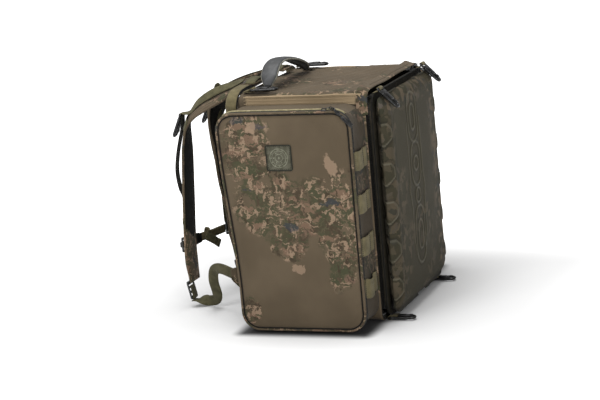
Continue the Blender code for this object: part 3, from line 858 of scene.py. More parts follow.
def front_relief(points, front_y):
    """The moulded relief: how far each point stands out, how much it is a ridge, and how much it
    lies in a groove, which also sets how much painted shade it gets.
    """
    x, y, z = points.T
    s = np.abs(x) + (y - front_y)
    height = np.zeros(len(x))
    ridge = np.zeros(len(x))
    groove_shade = np.zeros(len(x))
    for top in CELL_TOPS:
        line = [(u, top + v) for u, v in CELL_SHAPE]
        gap = distance_to_line(s, z, line)
        within = inside(s, z, line)
        height += np.where(within, 0.0026 * ease(0.0015, 0.010, gap), 0)
        ridge = np.maximum(ridge, np.exp(-(gap / 0.0016) ** 2))
        moat = np.exp(-((gap - 0.0045) / 0.0022) ** 2)
        groove_shade = np.maximum(groove_shade, np.where(within, 0, moat) * 0.6)
    pillow = distance_to_line(s, z, [(0.190, 0.452), (0.190, 0.470)])
    height += 0.0030 * (1 - ease(0.008, 0.016, pillow))
    for centre, half, low, high in RIBS:
        line = [(centre, low), (centre, high + 1e-5)]
        gap = np.abs(distance_to_line(x, z, line) - half) + np.where(y > front_y + 0.004, 1, 0)
        ridge = np.maximum(ridge, np.exp(-(gap / 0.0019) ** 2))
        groove_shade = np.maximum(groove_shade, np.exp(-((gap - 0.0048) / 0.002) ** 2) * 0.5)
    for sign in (-1, 1):
        line = [(u * sign - 0.020, v) for u, v in RAIL_LINE]
        gap = distance_to_line(x, z, line) + np.where(y > front_y + 0.004, 1, 0)
        ridge = np.maximum(ridge, 0.8 * np.exp(-(gap / 0.0015) ** 2))
    frame_gap = np.abs(s - 0.140) + np.where((z < 0.05) | (z > 0.45), 1, 0)
    groove_shade = np.maximum(groove_shade, 0.35 * np.exp(-(frame_gap / 0.003) ** 2))
    height += 0.0022 * ridge - 0.0013 * groove_shade
    return height, ridge, groove_shade


def make_front_door():
    low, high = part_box("front_panel")
    mesh = rounded_box("front_moulding", low, high, ((0.032, 0.032), (0.0355, 0), (0.046, 0.033)),
                       0.0030, EVA, skip=("+Y",))
    points, normals = read_points(mesh)
    height, ridge, groove_shade = front_relief(points, low.y)
    x, y, z = points.T
    dome = -0.0035 * ease(0.03, 0.16, np.hypot((x + 0.02) * 0.8, (z - 0.25) * 0.55))
    soft = 0.0007 * noise_at(points, 18, 4.2)
    edge = ease(0.0, 0.005, high.y - y)
    write_points(mesh, points + normals * ((height + dome + soft) * edge)[:, None])
    store(mesh, "ridge", ridge * edge)
    # the stored groove value also darkens the side wall within 8 mm of its back edge: painted shade
    # of the slit between door and body
    store(mesh, "groove_shade", np.maximum(groove_shade * edge, 1 - ease(0.002, 0.008, high.y - y)))
    door = wrap("front_moulding", mesh, "front_door", ("front_panel",))
    thicken(door, 0.0040, LINING)

    lip = Form("front_binding").use(DARK_TAPE)
    outline = upright_rect(low, high, 0.0004, 0.032)
    lip.tube([(u, high.y - 0.0014, v) for u, v in outline], 0.0013, closed=True)
    lip.make("front_door", "moulded_eva")

    hinge = Form("door_hinge_strip").use(DARK_TAPE)
    body_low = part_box("main_shell")[0]
    path = [Vector((0, high.y + 0.004, low.z + 0.0012)), Vector((0, high.y, low.z - 0.0030)),
            Vector((0, body_low.y, 0.0040)), Vector((0, body_low.y + 0.006, 0.0025))]
    hinge.band(path, X_AXIS, 2 * high.x - 0.064, 0.0016, spacing=0.0015)
    strip = hinge.make(None, "zip_tape")
    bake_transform(strip)


# ---- pockets --------------------------------------------------------------------------
POCKET_RADIUS = 0.038


def flare(y, z):
    """How much further back the pocket's upper back corner reaches."""
    return 0.020 * ease(0.08, 0.44, z) * ease(-0.02, 0.13, y)


def pocket_outline(low, high, inset):
    points = round_rect((low.y + inset, low.z + inset), (high.y - inset, high.z - inset),
                        POCKET_RADIUS - inset)
    return [(y + float(flare(y, z)), z) for y, z in points]


def open_run(outline, low, high):
    """The outline without its bottom side, starting at the bottom front corner."""
    start = min(range(len(outline)), key=lambda i: math.dist(outline[i], (high.y - 0.02, low.z)))
    turned = outline[start:] + outline[:start]
    end = min(range(len(turned)), key=lambda i: math.dist(turned[i], (low.y + 0.02, low.z)))
    return turned[:end + 1]


def make_pocket(side, sign):
    low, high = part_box(f"pocket_shell_{side}")
    lid_low, lid_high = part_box(f"pocket_lid_{side}")
    root = min(abs(low.x), abs(high.x))
    rim = max(abs(low.x), abs(high.x))
    # the gusset walls wear the half-bright camo: painted shade
    shell = Form(f"pocket_gusset_{side}").use(CAMO_GUSSET_PAINTED_SHADE)
    outline = pocket_outline(low, high, 0.0)
    middle_z = (low.z + high.z) / 2
    rings = []
    for t in np.linspace(0, 1, 17):
        x = sign * (rim + (root - rim) * t)
        ring = []
        for (y, z), (y2, z2) in zip(outline, outline[1:] + outline[:1]):
            normal = Vector((0, z2 - z, y - y2)).normalized()
            pinch = math.sin(math.pi * t)
            wave = noise.noise(Vector((x * 17, y * 11, z * 16 + sign)))
            fine = noise.noise(Vector((x * 45, y * 22, z * 30 + 7)))
            depth = pinch * (0.0030 * clamp(wave + 0.35) + 0.0012 * abs(fine)) + 0.0006 * pinch
            if z > high.z - 0.002:
                depth *= 0.8
            ring.append(Vector((x, y, z)) - normal * depth)
        rings.append(ring)
    shell.skin(rings, caps=False)
    shell.face(list(shell.bm.verts)[-len(outline):])
    # the top band gets plain camo at nearly full brightness, so only the walls below it carry
    # painted shade
    shell.use(PLAIN_CAMO)
    for face in shell.bm.faces:
        if face.calc_center_median().z > high.z - 0.010:
            face.material_index = shell.current
    gusset = shell.make("pack", "camo_fabric", (f"pocket_shell_{side}",))
    thicken(gusset, 0.0026, LINING)

    face = sign * max(abs(lid_low.x), abs(lid_high.x))
    radii = ((0.0062, 0.0), (POCKET_RADIUS,) * 2, (POCKET_RADIUS,) * 2)
    if sign > 0:
        radii = ((0.0, 0.0062),) + radii[1:]
    mesh = rounded_box(f"pocket_face_{side}", lid_low, lid_high, radii, 0.006, CAMO_POCKET)
    points, normals = read_points(mesh)
    x, y, z = points.T
    outer = ease(0.2, 0.9, normals[:, 0] * sign)
    near = np.minimum(np.minimum(y - lid_low.y, lid_high.y - y),
                      np.minimum(z - lid_low.z, lid_high.z - z))
    free = ease(0.006, 0.05, near)
    patch_gap = np.hypot((y - 0.0185) / 0.055, (z - 0.3755) / 0.055)
    free *= ease(0.75, 1.3, patch_gap)
    swell = (0.0016 * noise_at(points, (1, 7, 6), 2.0 + sign)
             + 0.0009 * noise_at(points, (1, 17, 11), 6.0))
    pull = 0.0008 * np.abs(np.sin((y + z) * 2 * math.pi / 0.05)) * (1 - ease(0.010, 0.030, near))
    moved = points + normals * ((swell * free - pull) * outer)[:, None]
    moved[:, 1] += flare(y, z)
    write_points(mesh, moved)
    wrap(f"pocket_face_{side}", mesh, f"pocket_door_{side}", (f"pocket_lid_{side}",))

    trim = Form(f"pocket_piping_{side}").use(CAMO_TRIM)
    bead_x = face - sign * 0.0044
    trim.tube([(bead_x, y, z) for y, z in pocket_outline(lid_low, lid_high, 0.0012)],
              0.0027, closed=True)
    trim.use(DARK_TAPE)
    trim.tube([(face - sign * 0.0026, y, z) for y, z in pocket_outline(lid_low, lid_high, 0.0052)],
              0.0013, closed=True)
    trim.make(f"pocket_door_{side}", "camo_fabric")

    zip_line = Form(f"pocket_zip_{side}")
    run = open_run(pocket_outline(low, high, -0.0006), low, high)
    crown = [(y, z) for y, z in run if z > high.z - 0.012]
    zip_line.use(ZIP_TAPE).tube([(sign * (rim - 0.0064), y, z + 0.0012) for y, z in crown], 0.0029,
                                flat=0.8, up=(0, 0, 1))
    zip_line.use(DARK_TAPE)
    zip_line.tube([(sign * (rim - 0.0030), y, z) for y, z in run], 0.0012, sides=6)
    zip_line.tube([(sign * (rim - 0.0112), y, z) for y, z in crown], 0.0010, sides=6)
    zip_line.use(GREY)
    teeth = catmull([Vector((sign * (rim - 0.0012), y, z)) for y, z in run], 0.0026)
    for a, b in zip(teeth, teeth[1:]):
        a, b = Vector(a), Vector(b)
        along = (b - a).normalized()
        out = along.cross(X_AXIS)
        if out.dot(a - Vector((a.x, 0, middle_z))) < 0:
            out = -out
        zip_line.tooth(a, along, X_AXIS, out,
                       ((-0.0014, -0.0012), (-0.0010, 0.0008), (0.0010, 0.0008), (0.0014, -0.0012)))
    zip_line.make("pack", "zip_tape")

    fold = Form(f"pocket_hinge_{side}").use(CAMO_TRIM)
    path = [Vector((sign * (rim - 0.004), 0, low.z - 0.0004)),
            Vector((sign * (rim + 0.004), 0, low.z - 0.0008)),
            Vector((face - sign * 0.003, 0, low.z + 0.0006))]
    fold.band(path, Y_AXIS, high.y - low.y - 2 * POCKET_RADIUS, 0.0014, spacing=0.0015)
    strip = fold.make(None, "camo_fabric")
    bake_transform(strip)


def make_webbing_loops(side, sign):
    for number in (1, 2, 3, 4):
        node = f"webbing_loop_{side}_{number}"
        low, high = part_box(node)
        height = (low.z + high.z) / 2
        start, end = min(abs(low.x), abs(high.x)), max(abs(low.x), abs(high.x))
        flat = high.y - 0.0007
        seam = start + (end - start) * 0.36
        loose = 0.0022 + (0.0030 if number == 4 else 0.0008)
        drop = 0.004 if number == 4 else 0.001
        line = [(start, flat, 0), (start + 0.005, flat, 0), (start + 0.012, flat - 0.0018, 0),
                (seam, flat - 0.0005, 0), (seam + 0.012, flat - loose, -drop),
                (end - 0.016, flat - loose, -drop), (end - 0.006, flat, 0), (end + 0.001, flat, 0)]
        band = Form(f"loop_webbing_{side}_{number}").use(KHAKI)
        band.band([Vector((sign * x, y, height + dz)) for x, y, dz in line], Z_AXIS,
                  high.z - low.z, 0.0016)
        band.use(THREAD_DARK)
        for x, y in ((start + 0.003, flat), (seam, flat - 0.0005), (seam + 0.0018, flat - 0.0008),
                     (end - 0.002, flat)):
            band.stitches([(sign * x, y - 0.0008, z)
                           for z in np.linspace(low.z + 0.002, high.z - 0.002, 6)],
                          -Y_AXIS, radius=0.0005)
        band.make("pack", "olive_webbing", (node,))


def make_patch():
    """A woven badge: a stitched border, with rings and dots inside it."""
    low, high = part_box("pocket_patch")
    badge = Form("badge").use(PATCH)
    cy, cz = (low.y + high.y) / 2, (low.z + high.z) / 2
    outline = [(y - cy, z - cz) for y, z in round_rect((low.y, low.z), (high.y, high.z), 0.005)]
    place = Matrix(((0, 0, -1, high.x - 0.0004), (1, 0, 0, cy), (0, 1, 0, cz), (0, 0, 0, 1)))
    badge.plate([outline], 0.0016, place, bevel=0.0005)
    surface = low.x + 0.0006
    badge.use(DARK_WEB)
    border = round_rect((low.y + 0.0012, low.z + 0.0012), (high.y - 0.0012, high.z - 0.0012), 0.004)
    badge.tube([(surface, y, z) for y, z in border], 0.0013, closed=True)
    badge.use(THREAD_DARK).stitches([(surface + 0.0002, y, z) for y, z in
                                     round_rect((low.y + 0.004, low.z + 0.004),
                                                (high.y - 0.004, high.z - 0.004), 0.003)],
                                    -X_AXIS, radius=0.0005)
    badge.use(THREAD_PALE)
    for ring, size in ((0.0195, 0.0008), (0.0150, 0.0005), (0.0080, 0.0007)):
        badge.tube([(surface + 0.0003, cy + ring * math.cos(a), cz + ring * math.sin(a))
                    for a in circle(60)],
                   size, sides=6, closed=True)
    for count, ring, size in ((12, 0.0172, 0.0011), (6, 0.0112, 0.0014), (1, 0.0, 0.0022)):
        for k in range(count):
            a = 2 * math.pi * k / count
            centre = Vector((surface + 0.0003, cy + ring * math.cos(a), cz + ring * math.sin(a)))
            badge.tube([centre + X_AXIS * 0.0004, centre - X_AXIS * 0.0004], size, sides=10)
    badge.make("pocket_door_left", "woven_patch", ("pocket_patch",))


# ---- zip sliders and pulls ------------------------------------------------------------
def make_main_sliders():
    for side, sign in SIDES:
        low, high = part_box(f"main_zip_slider_{side}")
        centre = (low + high) / 2
        slider = Form(f"main_slider_{side}_body").use(BLACK)
        slider.block(low, (high.x, high.y, low.z + 0.0030), 0.0012)
        foot, crest = low.z + 0.0028, high.z - 0.0004
        bridge = [(centre.x - 0.0045, centre.y, foot), (centre.x - 0.0030, centre.y, crest),
                  (centre.x + 0.0030, centre.y, crest), (centre.x + 0.0045, centre.y, foot)]
        slider.tube(catmull(bridge, 0.001), 0.0011)
        slider.make(f"main_slider_{side}", "black_plastic", (f"main_zip_slider_{side}",))
        low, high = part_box(f"main_zip_pull_{side}")
        near, far = (low.x, high.x) if sign > 0 else (high.x, low.x)
        y, z = (low.y + high.y) / 2, (low.z + high.z) / 2
        pull = Form(f"main_pull_{side}_tab").use(BLACK)
        ring = [(near + sign * (0.0045 + 0.0042 * math.cos(a)), y + 0.0028 * math.sin(a), z)
                for a in circle(20)]
        pull.tube(ring, 0.0010, closed=True, up=(0, 0, 1))
        length = abs(far - near)
        outline = round_rect((0.0080, -0.0034), (length, 0.0034), 0.0028, 0.002, 20)
        eye = hole((0.0100, -0.0014), (0.0145, 0.0014), 0.0012, 0.001)
        place = Matrix.Translation((near, y, z)) @ Matrix.Diagonal((sign, sign, 1, 1))
        pull.plate([outline, eye], 0.0026, place)
        for t in (0.019, 0.022, 0.025):
            pull.tube([(near + sign * t, y + v, z + 0.0012) for v in (-0.0024, 0.0024)], 0.0005, 6)
        pull.make(f"main_pull_{side}", "black_plastic", (f"main_zip_pull_{side}",))


def make_pocket_slider(side, sign):
    low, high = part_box(f"pocket_zip_slider_{side}")
    centre = (low + high) / 2
    slider = Form(f"pocket_slider_{side}_body").use(BLACK)
    slider.block(low, (high.x, high.y, low.z + 0.0026), 0.0010)
    foot = low.z + 0.0022
    bridge = [(centre.x, low.y + 0.0012, foot), (centre.x, low.y + 0.0030, high.z),
              (centre.x, high.y - 0.0030, high.z), (centre.x, high.y - 0.0012, foot)]
    slider.tube(catmull(bridge, 0.001), 0.0011)
    slider.make(f"pocket_slider_{side}", "black_plastic", (f"pocket_zip_slider_{side}",))
    route = [Vector((sign * x, y, z)) for x, y, z in
             ((0.265, -0.0905, 0.4748), (0.265, -0.101, 0.4753), (0.273, -0.111, 0.4733),
              (0.276, -0.121, 0.4633), (0.276, -0.146, 0.4393))]
    fine = [Vector(p) for p in catmull(route, 0.0012)]
    pull = Form(f"pocket_pull_{side}_tab").use(BLACK)
    links, size = 4, 5
    for k in range(links):
        part = fine[k * size:(k + 1) * size + 2]
        middle = part[len(part) // 2]
        along = (part[-1] - part[0]).normalized()
        side_way = along.cross(X_AXIS if k % 2 else Z_AXIS).normalized()
        pull.tube([middle + along * 0.0042 * math.cos(a) + side_way * 0.0021 * math.sin(a)
                   for a in circle(16)],
                  0.0008, sides=6, closed=True)
    tab = fine[links * size:]
    pull.band(tab[::3] + [tab[-1]], Vector((0, 0.7, 0.7)), 0.0086, 0.0034, spacing=0.002)
    pull.make(f"pocket_pull_{side}", "black_plastic", (f"pocket_zip_pull_{side}",))


# ---- clips ----------------------------------------------------------------------------
# radius of webbing curled round a bar
CURL = 0.0039
STRAP_X = 0.080
STRAP_CLIP_BAR = (0.3145, 0.4350)
STRAP_CLIP_TILT = 26
# for each place: x from the middle, y and z of the clip's bar, and direction from bar to tip
CLIPS = {
    "rear": (0.158, (0.109, 0.4989), (0, -1, 0)),
    "front": (0.151, (-0.168, 0.4925), (0, -0.70, -0.714)),
    "base": (0.152, (-0.153, 0.0052), (0, -1, 0)),
    "strap": (STRAP_X, STRAP_CLIP_BAR, (0, math.sin(math.radians(STRAP_CLIP_TILT)),
                                        -math.cos(math.radians(STRAP_CLIP_TILT)))),
}


def clip_spots():
    """Each snap clip: name, body, bar's place, direction from bar to tip."""
    for side, sign in SIDES:
        for place, (x, bar, direction) in CLIPS.items():
            yield f"clip_{place}_{side}", f"{place}_clip_{side}", (sign * x, *bar), direction


def make_clip(node, body, bar, direction):
    """A snap clip: webbing bar, waisted neck, oval loop and a springy gate along one side."""
    along = Vector(direction).normalized()
    place = Matrix.Translation(bar) @ basis(along, X_AXIS)
    clip = Form(node.replace("clip_", "snap_clip_")).use(BLACK)
    tip = 0.058 - 0.002 - 0.0117

    loop = [(u, v, 0) for u, v in arc((tip, 0), 0.0083, -90, 90, 15)]
    loop += [(0.030, 0.0092, 0), (0.016, 0.0096, 0), (0.0120, 0.0070, 0)]
    loop += [(0.0120, -0.0070, 0), (0.016, -0.0096, 0), (0.030, -0.0092, 0)]
    clip.tube(placed_at(place, catmull(loop + loop[:1], 0.002)[:-1]), 0.0033, closed=True,
              flat=0.95, up=along.cross(X_AXIS))
    clip.tube(placed_at(place, [(0, -0.0130, 0), (0, 0.0130, 0)]), 0.0026)
    for v in (-1, 1):
        shoulder = [(0, v * 0.0118, 0), (0.004, v * 0.0126, 0), (0.0095, v * 0.0108, 0)]
        clip.tube(placed_at(place, catmull(shoulder, 0.001)), 0.0023)
    clip.block((0.0062, -0.0124, -0.0032), (0.0150, 0.0124, 0.0032), 0.0018, place)
    gate = [(0.0130, 0.0052, 0.0008), (0.0300, 0.0064, 0.0012), (0.0440, 0.0070, 0.0004)]
    clip.tube(placed_at(place, gate), 0.0017)
    clip.block((0.0120, -0.0052, -0.0028), (0.0240, 0.0052, 0.0028), 0.0016, place)
    clip.block((0.0380, 0.0054, -0.0034), (0.0456, 0.0126, 0.0034), 0.0014, place)
    clip.block((0.0160, -0.0062, 0.0016), (0.0350, 0.0062, 0.0052), 0.0016, place)
    clip.make(body, "black_plastic", (node,))


def make_tabs():
    for place, body in (("rear", "pack"), ("front", "front_door"), ("base", "front_door")):
        for side, sign in SIDES:
            node = f"clip_tab_{place}_{side}"
            x, bar, _ = CLIPS[place]
            x *= sign
            if place == "base":
                line = [(bar[0] - 0.017, bar[1] + CURL), (bar[0] - 0.008, bar[1] + CURL)]
                line += arc(bar, CURL, 90, -200)
            elif place == "front":
                line = [(bar[0] + 0.012, 0.4852)] + arc(bar, CURL, 270, 15)
            else:
                line = [(bar[0] + 0.020, 0.4950), (bar[0] + 0.010, 0.4950)]
                line += arc(bar, CURL, 270, 15)
                line += [(bar[0] + 0.010, 0.4978), (bar[0] + 0.018, 0.4966)]
            tab = Form(f"tab_{place}_{side}").use(KHAKI)
            tab.band([Vector((x, y, z)) for y, z in line], X_AXIS, 0.020, 0.0014, spacing=0.002)
            if place == "rear":
                tab.use(THREAD_DARK)
                for y in (bar[0] + 0.013, bar[0] + 0.017):
                    tab.stitches([(x + u, y, 0.4976) for u in (-0.009, 0, 0.009)], Z_AXIS)
            tab.make(body, "olive_webbing", (node,))


# ---- carry handle ---------------------------------------------------------------------
# the arch's middle line, as parts of its half-span and of its rise: its left side stands up
HANDLE_SHAPE = ((-1.0, 0.0), (-0.95, 0.32), (-0.84, 0.70), (-0.70, 1.0), (-0.48, 1.15),
                (-0.2, 1.12), (0.1, 0.98), (0.4, 0.76), (0.65, 0.52), (0.85, 0.29), (1.0, 0.0))


def make_handle():
    low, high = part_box("carry_handle")
    span, pivot_y = high.x - low.x - 0.002, (low.y + high.y) / 2
    pivot_z = 0.498
    rise_full = 0.040
    middle = catmull([(span / 2 * u, rise_full * v) for u, v in HANDLE_SHAPE], 0.0036)
    rubber = Form("handle_grip").use(RUBBER)
    trim = Form("handle_edging").use(PALE_TRIM)
    rings, edges, inner = [], ([], []), []
    for i, (x, rise) in enumerate(middle):
        lift = rise / rise_full
        behind, ahead = beside(middle, i)
        tangent = Vector((ahead[0] - behind[0], 0, ahead[1] - behind[1])).normalized()
        normal = tangent.cross(Y_AXIS)
        half = 0.018 * (0.40 + 0.60 * clamp(lift / 0.5))
        centre = Vector((x, pivot_y, pivot_z + rise))
        ring = []
        for k in range(16):
            a = 2 * math.pi * k / 16
            u = math.copysign(abs(math.cos(a)) ** 0.45, math.cos(a)) * half
            v = math.copysign(abs(math.sin(a)) ** 0.7, math.sin(a)) * 0.0034
            ring.append(centre + Y_AXIS * u + normal * (v - 0.0014 * (u / half) ** 2))
        rings.append(ring)
        for sign, edge in zip((-1, 1), edges):
            edge.append(centre + Y_AXIS * sign * (half - 0.0006) - normal * 0.0024)
        inner.append((centre - normal * 0.0042, half))
    rubber.skin(rings)
    rubber.make("handle", "grip_rubber", ("carry_handle",))
    for edge in edges:
        trim.tube(edge, 0.0021, flat=1.2)
    liner = []
    for (centre, half), ring in zip(inner, rings):
        liner.append([centre + Y_AXIS * (half - 0.003) * u + Z_AXIS * 0.0007 * v
                      for u, v in ((-1, -1), (1, -1), (1, 1), (-1, 1))])
    trim.use(DARK_WEB).skin(liner)
    trim.use(THREAD_DARK)
    for sign, edge in zip((-1, 1), edges):
        trim.stitches(edge[2:-2], Y_AXIS * sign + Z_AXIS * 0.6, radius=0.0008)
    trim.make("handle", "grip_rubber")
    feet = Form("handle_anchors").use(DARK_WEB)
    for sign in (-1, 1):
        x = sign * span / 2
        path = [Vector((x + sign * u, pivot_y, z))
                for u, z in ((0.0065, 0.4952), (0.012, 0.4950), (0.026, 0.4938))]
        feet.use(DARK_WEB).band(path, Y_AXIS, 0.026, 0.0016)
        feet.use(THREAD_PALE)
        for y in (-0.010, 0.010):
            feet.stitches([(x + sign * 0.009, pivot_y + y, 0.4960),
                           (x + sign * 0.024, pivot_y + y, 0.4950)], Z_AXIS)
    feet.make("pack", "grip_rubber")


# ---- shoulder harness -----------------------------------------------------------------
# y, z and roll in degrees along each strap's middle
SHOULDER_ARC = ((0.122, 0.5035, 0), (0.150, 0.5030, 8), (0.185, 0.488, 20), (0.220, 0.4745, 28),
                (0.255, 0.459, 30), (0.285, 0.440, 26), (0.303, 0.412, 15), (0.309, 0.375, 6))
CHEST_RUN = {
    "left": ((0.312, 0.340, 2), (0.320, 0.243, 0), (0.326, 0.165, 0),
             (0.328, 0.110, 0), (0.325, 0.062, 0)),
    "right": ((0.305, 0.330, 2), (0.301, 0.255, 0), (0.2905, 0.190, 0),
              (0.2855, 0.125, 0), (0.276, 0.072, 0)),
}
LOCK_BARS = {"left": (0.3375, 0.0560), "right": (0.2870, 0.0640)}
LOCK_DROP = Vector((0, -0.20, -0.98))
RAIL_BOW = {
    "left": ((0.3155, 0.410), (0.3235, 0.385), (0.3345, 0.345),
             (0.3400, 0.307), (0.3365, 0.272), (0.3290, 0.243)),
    "right": ((0.3155, 0.410), (0.3215, 0.380), (0.3205, 0.345), (0.3150, 0.300)),
}


def strap_frames(side, sign):
    """Along the strap: place, width direction, outward direction, and distance run."""
    rows = catmull([(STRAP_X * sign, y, z, roll)
                    for y, z, roll in SHOULDER_ARC + CHEST_RUN[side]], 0.005)
    out, run = [], 0.0
    for i, row in enumerate(rows):
        point = Vector(row[:3])
        behind, ahead = beside(rows, i)
        tangent = (Vector(ahead[:3]) - Vector(behind[:3])).normalized()
        outward = X_AXIS.cross(tangent).normalized()
        turn = math.radians(row[3])
        width = X_AXIS * sign * math.cos(turn) - outward * math.sin(turn)
        outward = outward * math.cos(turn) + X_AXIS * sign * math.sin(turn)
        if i:
            run += (point - Vector(rows[i - 1][:3])).length
        out.append((point, width, outward, run))
    return out


def make_strap(side, sign):
    frames = strap_frames(side, sign)
    length = frames[-1][3]
    half_width, half_thick = 0.0272, 0.0052
    ticks = [-1 + 2 * k / 14 for k in range(15)]

    def section(point, width, outward, run, up):
        end = min(1.0, 0.35 + 0.65 * min(run, length - run) / 0.012)
        puff = (1 + 0.10 * math.sin(run * 2 * math.pi / 0.043)
                + 0.10 * noise.noise(Vector((run * 30, sign, up))))
        taper = half_width * (0.80 + 0.20 * ease(0.0, 0.05, length - run))
        ring = []
        for u in ticks:
            v = (1 - abs(u) ** 3.2) ** 0.6 * half_thick * puff * end
            quilt = 0.0007 * math.exp(-((abs(u) - 0.62) / 0.06) ** 2)
            ring.append(point + width * u * taper + outward * up * (v - quilt))
        return ring

    pad = Form(f"strap_pad_{side}")
    for up, look in ((1, CAMO_STRAP), (-1, SPACER)):
        rings = []
        for point, width, outward, run in frames:
            ring = section(point, width, outward, run, up)
            rings.append(ring + [ring[-1] - (ring[-1] - ring[0]) * 0.5 + outward * up * 0.0001])
        pad.use(look).skin(rings)
    pad.use(CAMO_STRAP)
    for face in pad.bm.faces:
        spot = face.calc_center_median()
        if spot.z < 0.165 + 0.03 * noise.noise(spot * 25):
            face.material_index = pad.current
    padded = pad.make(f"strap_{side}", "camo_fabric", (f"shoulder_strap_{side}",))

    binding = Form(f"strap_binding_{side}").use(CAMO_TRIM)
    edges = {u: [] for u in (-1, 1)}
    for point, width, outward, run in frames:
        taper = half_width * (0.80 + 0.20 * ease(0.0, 0.05, length - run))
        for u in edges:
            edges[u].append(point + width * u * taper)
    binding.tube(edges[-1] + list(reversed(edges[1])), 0.0030, closed=True, sides=8)
    binding.use(THREAD_DARK)
    for u in (-1, 1):
        line = [point + width * u * half_width * 0.62 + outward * half_thick * 0.93
                for point, width, outward, run in frames if 0.01 < run < length - 0.015]
        binding.stitches(line, frames[len(frames) // 2][2])
    binding.make(f"strap_{side}", "camo_fabric")

    rise = 0.0055 + 0.0022
    round_clip = arc(STRAP_CLIP_BAR, CURL, STRAP_CLIP_TILT + 75, STRAP_CLIP_TILT - 135)
    chest = [(y + rise, z) for y, z, roll in CHEST_RUN[side][2:-1]]
    round_lock = arc(LOCK_BARS[side], CURL, 180, 375)
    rail = Form(f"rail_webbing_{side}").use(OLIVE)
    top_run = [f for f in frames if 0.156 < f[0].y < 0.292][::5]
    upper, across = [], []
    for i, (point, width, outward, run) in enumerate(top_run):
        bow = math.sin(math.pi * i / (len(top_run) - 1))
        upper.append(point + outward * (0.0075 + 0.0050 * bow) - width * 0.004 * bow)
        across.append(width - outward * math.tan(math.radians(24)) * bow)
    upper += [Vector((sign * STRAP_X, y, z)) for y, z in round_clip]
    across += [X_AXIS * sign] * len(round_clip)
    rail.band(upper, across, 0.020, 0.0015, spacing=0.003)
    rail.use(DARK_WEB)
    lower = [Vector((sign * STRAP_X, y, z))
             for y, z in round_clip[-1:] + list(RAIL_BOW[side]) + chest + round_lock]
    rail.band(lower, X_AXIS, 0.020, 0.0015, spacing=0.003)
    rail.make(f"strap_{side}", "olive_webbing", (f"strap_webbing_{side}",))

    bands = Form(f"cross_bands_{side}").use(OLIVE)
    for spot, width_of, lift in ((0.012, 0.022, 0.0010), (0.206, 0.026, 0.0012),
                                 (0.425, 0.014, 0.0008)):
        point, width, outward, run = min(frames, key=lambda f: abs(f[3] - spot))
        path = [point + width * u * 0.0300 + outward * (lift + 0.0055 * (1 - abs(u) ** 3.2) ** 0.6)
                for u in (-1, -0.9, -0.5, 0, 0.5, 0.9, 1)]
        tangent = width.cross(outward).normalized()
        bands.use(OLIVE).band(path, tangent, width_of, 0.0015, spacing=0.003)
        bands.use(THREAD_DARK)
        for t in (-0.35, 0.35):
            bands.stitches([p + tangent * width_of * t + outward * 0.0008
                            for p in path[1:-1]], outward)
    bands.make(f"strap_{side}", "olive_webbing")


def make_lock(side, sign):
    """A ladder buckle: curved frame, three cross bars and a thumb tab."""
    bar_y, bar_z = LOCK_BARS[side]
    top = Vector((sign * STRAP_X, bar_y, bar_z))
    along = LOCK_DROP.normalized()
    across = X_AXIS
    place = Matrix.Translation(top) @ basis(along, across)
    length, half = 0.038, 0.0160
    lock = Form(f"ladder_buckle_{side}").use(GREY)
    outline = round_rect((-0.002, -half), (length, half), 0.004, 0.003, 15)
    slots = []
    for start, end in ((0.0020, 0.0080), (0.0125, 0.0185), (0.0240, 0.0300)):
        slots.append(hole((start, -0.0131), (end, 0.0131), 0.0012, 0.003))
    lock.plate([outline] + slots, 0.0040, place, bevel=0.0009)
    for u in (0.0102, 0.0212):
        lock.tube(placed_at(place, [(u, v, 0.0016) for v in (-0.0130, -0.006, 0, 0.006, 0.0130)]),
                  0.0017)
    for v in (-0.008, -0.004, 0.0, 0.004, 0.008):
        lock.tube(placed_at(place, [(0.0325, v, 0.0019), (0.0370, v, 0.0019)]), 0.0007, 6)
    lock.use(OLIVE).band([place @ Vector((u, 0, n)) for u, n in
                          ((0.0068, 0.0034), (0.0150, 0.0036), (0.0225, 0.0034), (0.0290, 0.0036),
                           (0.0340, 0.0026), (0.0385, 0.0006))],
                         across, 0.0240, 0.0015, spacing=0.002)
    lock.make(f"lock_{side}", "grey_plastic", (f"ladder_lock_{side}",))


ADJUSTER_ROUTE = {
    "left": ((0.158, 0.193, 0.096), (0.142, 0.232, 0.104), (0.124, 0.256, 0.094),
             (0.110, 0.266, 0.066), (0.098, 0.266, 0.036), (0.088, 0.274, 0.019),
             (0.081, 0.292, 0.0135), (0.080, 0.310, 0.0150), (0.080, 0.323, 0.0146),
             (0.080, 0.3330, 0.0146)),
    "right": ((0.158, 0.193, 0.096), (0.140, 0.222, 0.084), (0.118, 0.228, 0.056),
              (0.102, 0.230, 0.034), (0.090, 0.238, 0.021), (0.082, 0.250, 0.018),
              (0.080, 0.262, 0.0205), (0.080, 0.271, 0.0218), (0.080, 0.2800, 0.0226)),
}


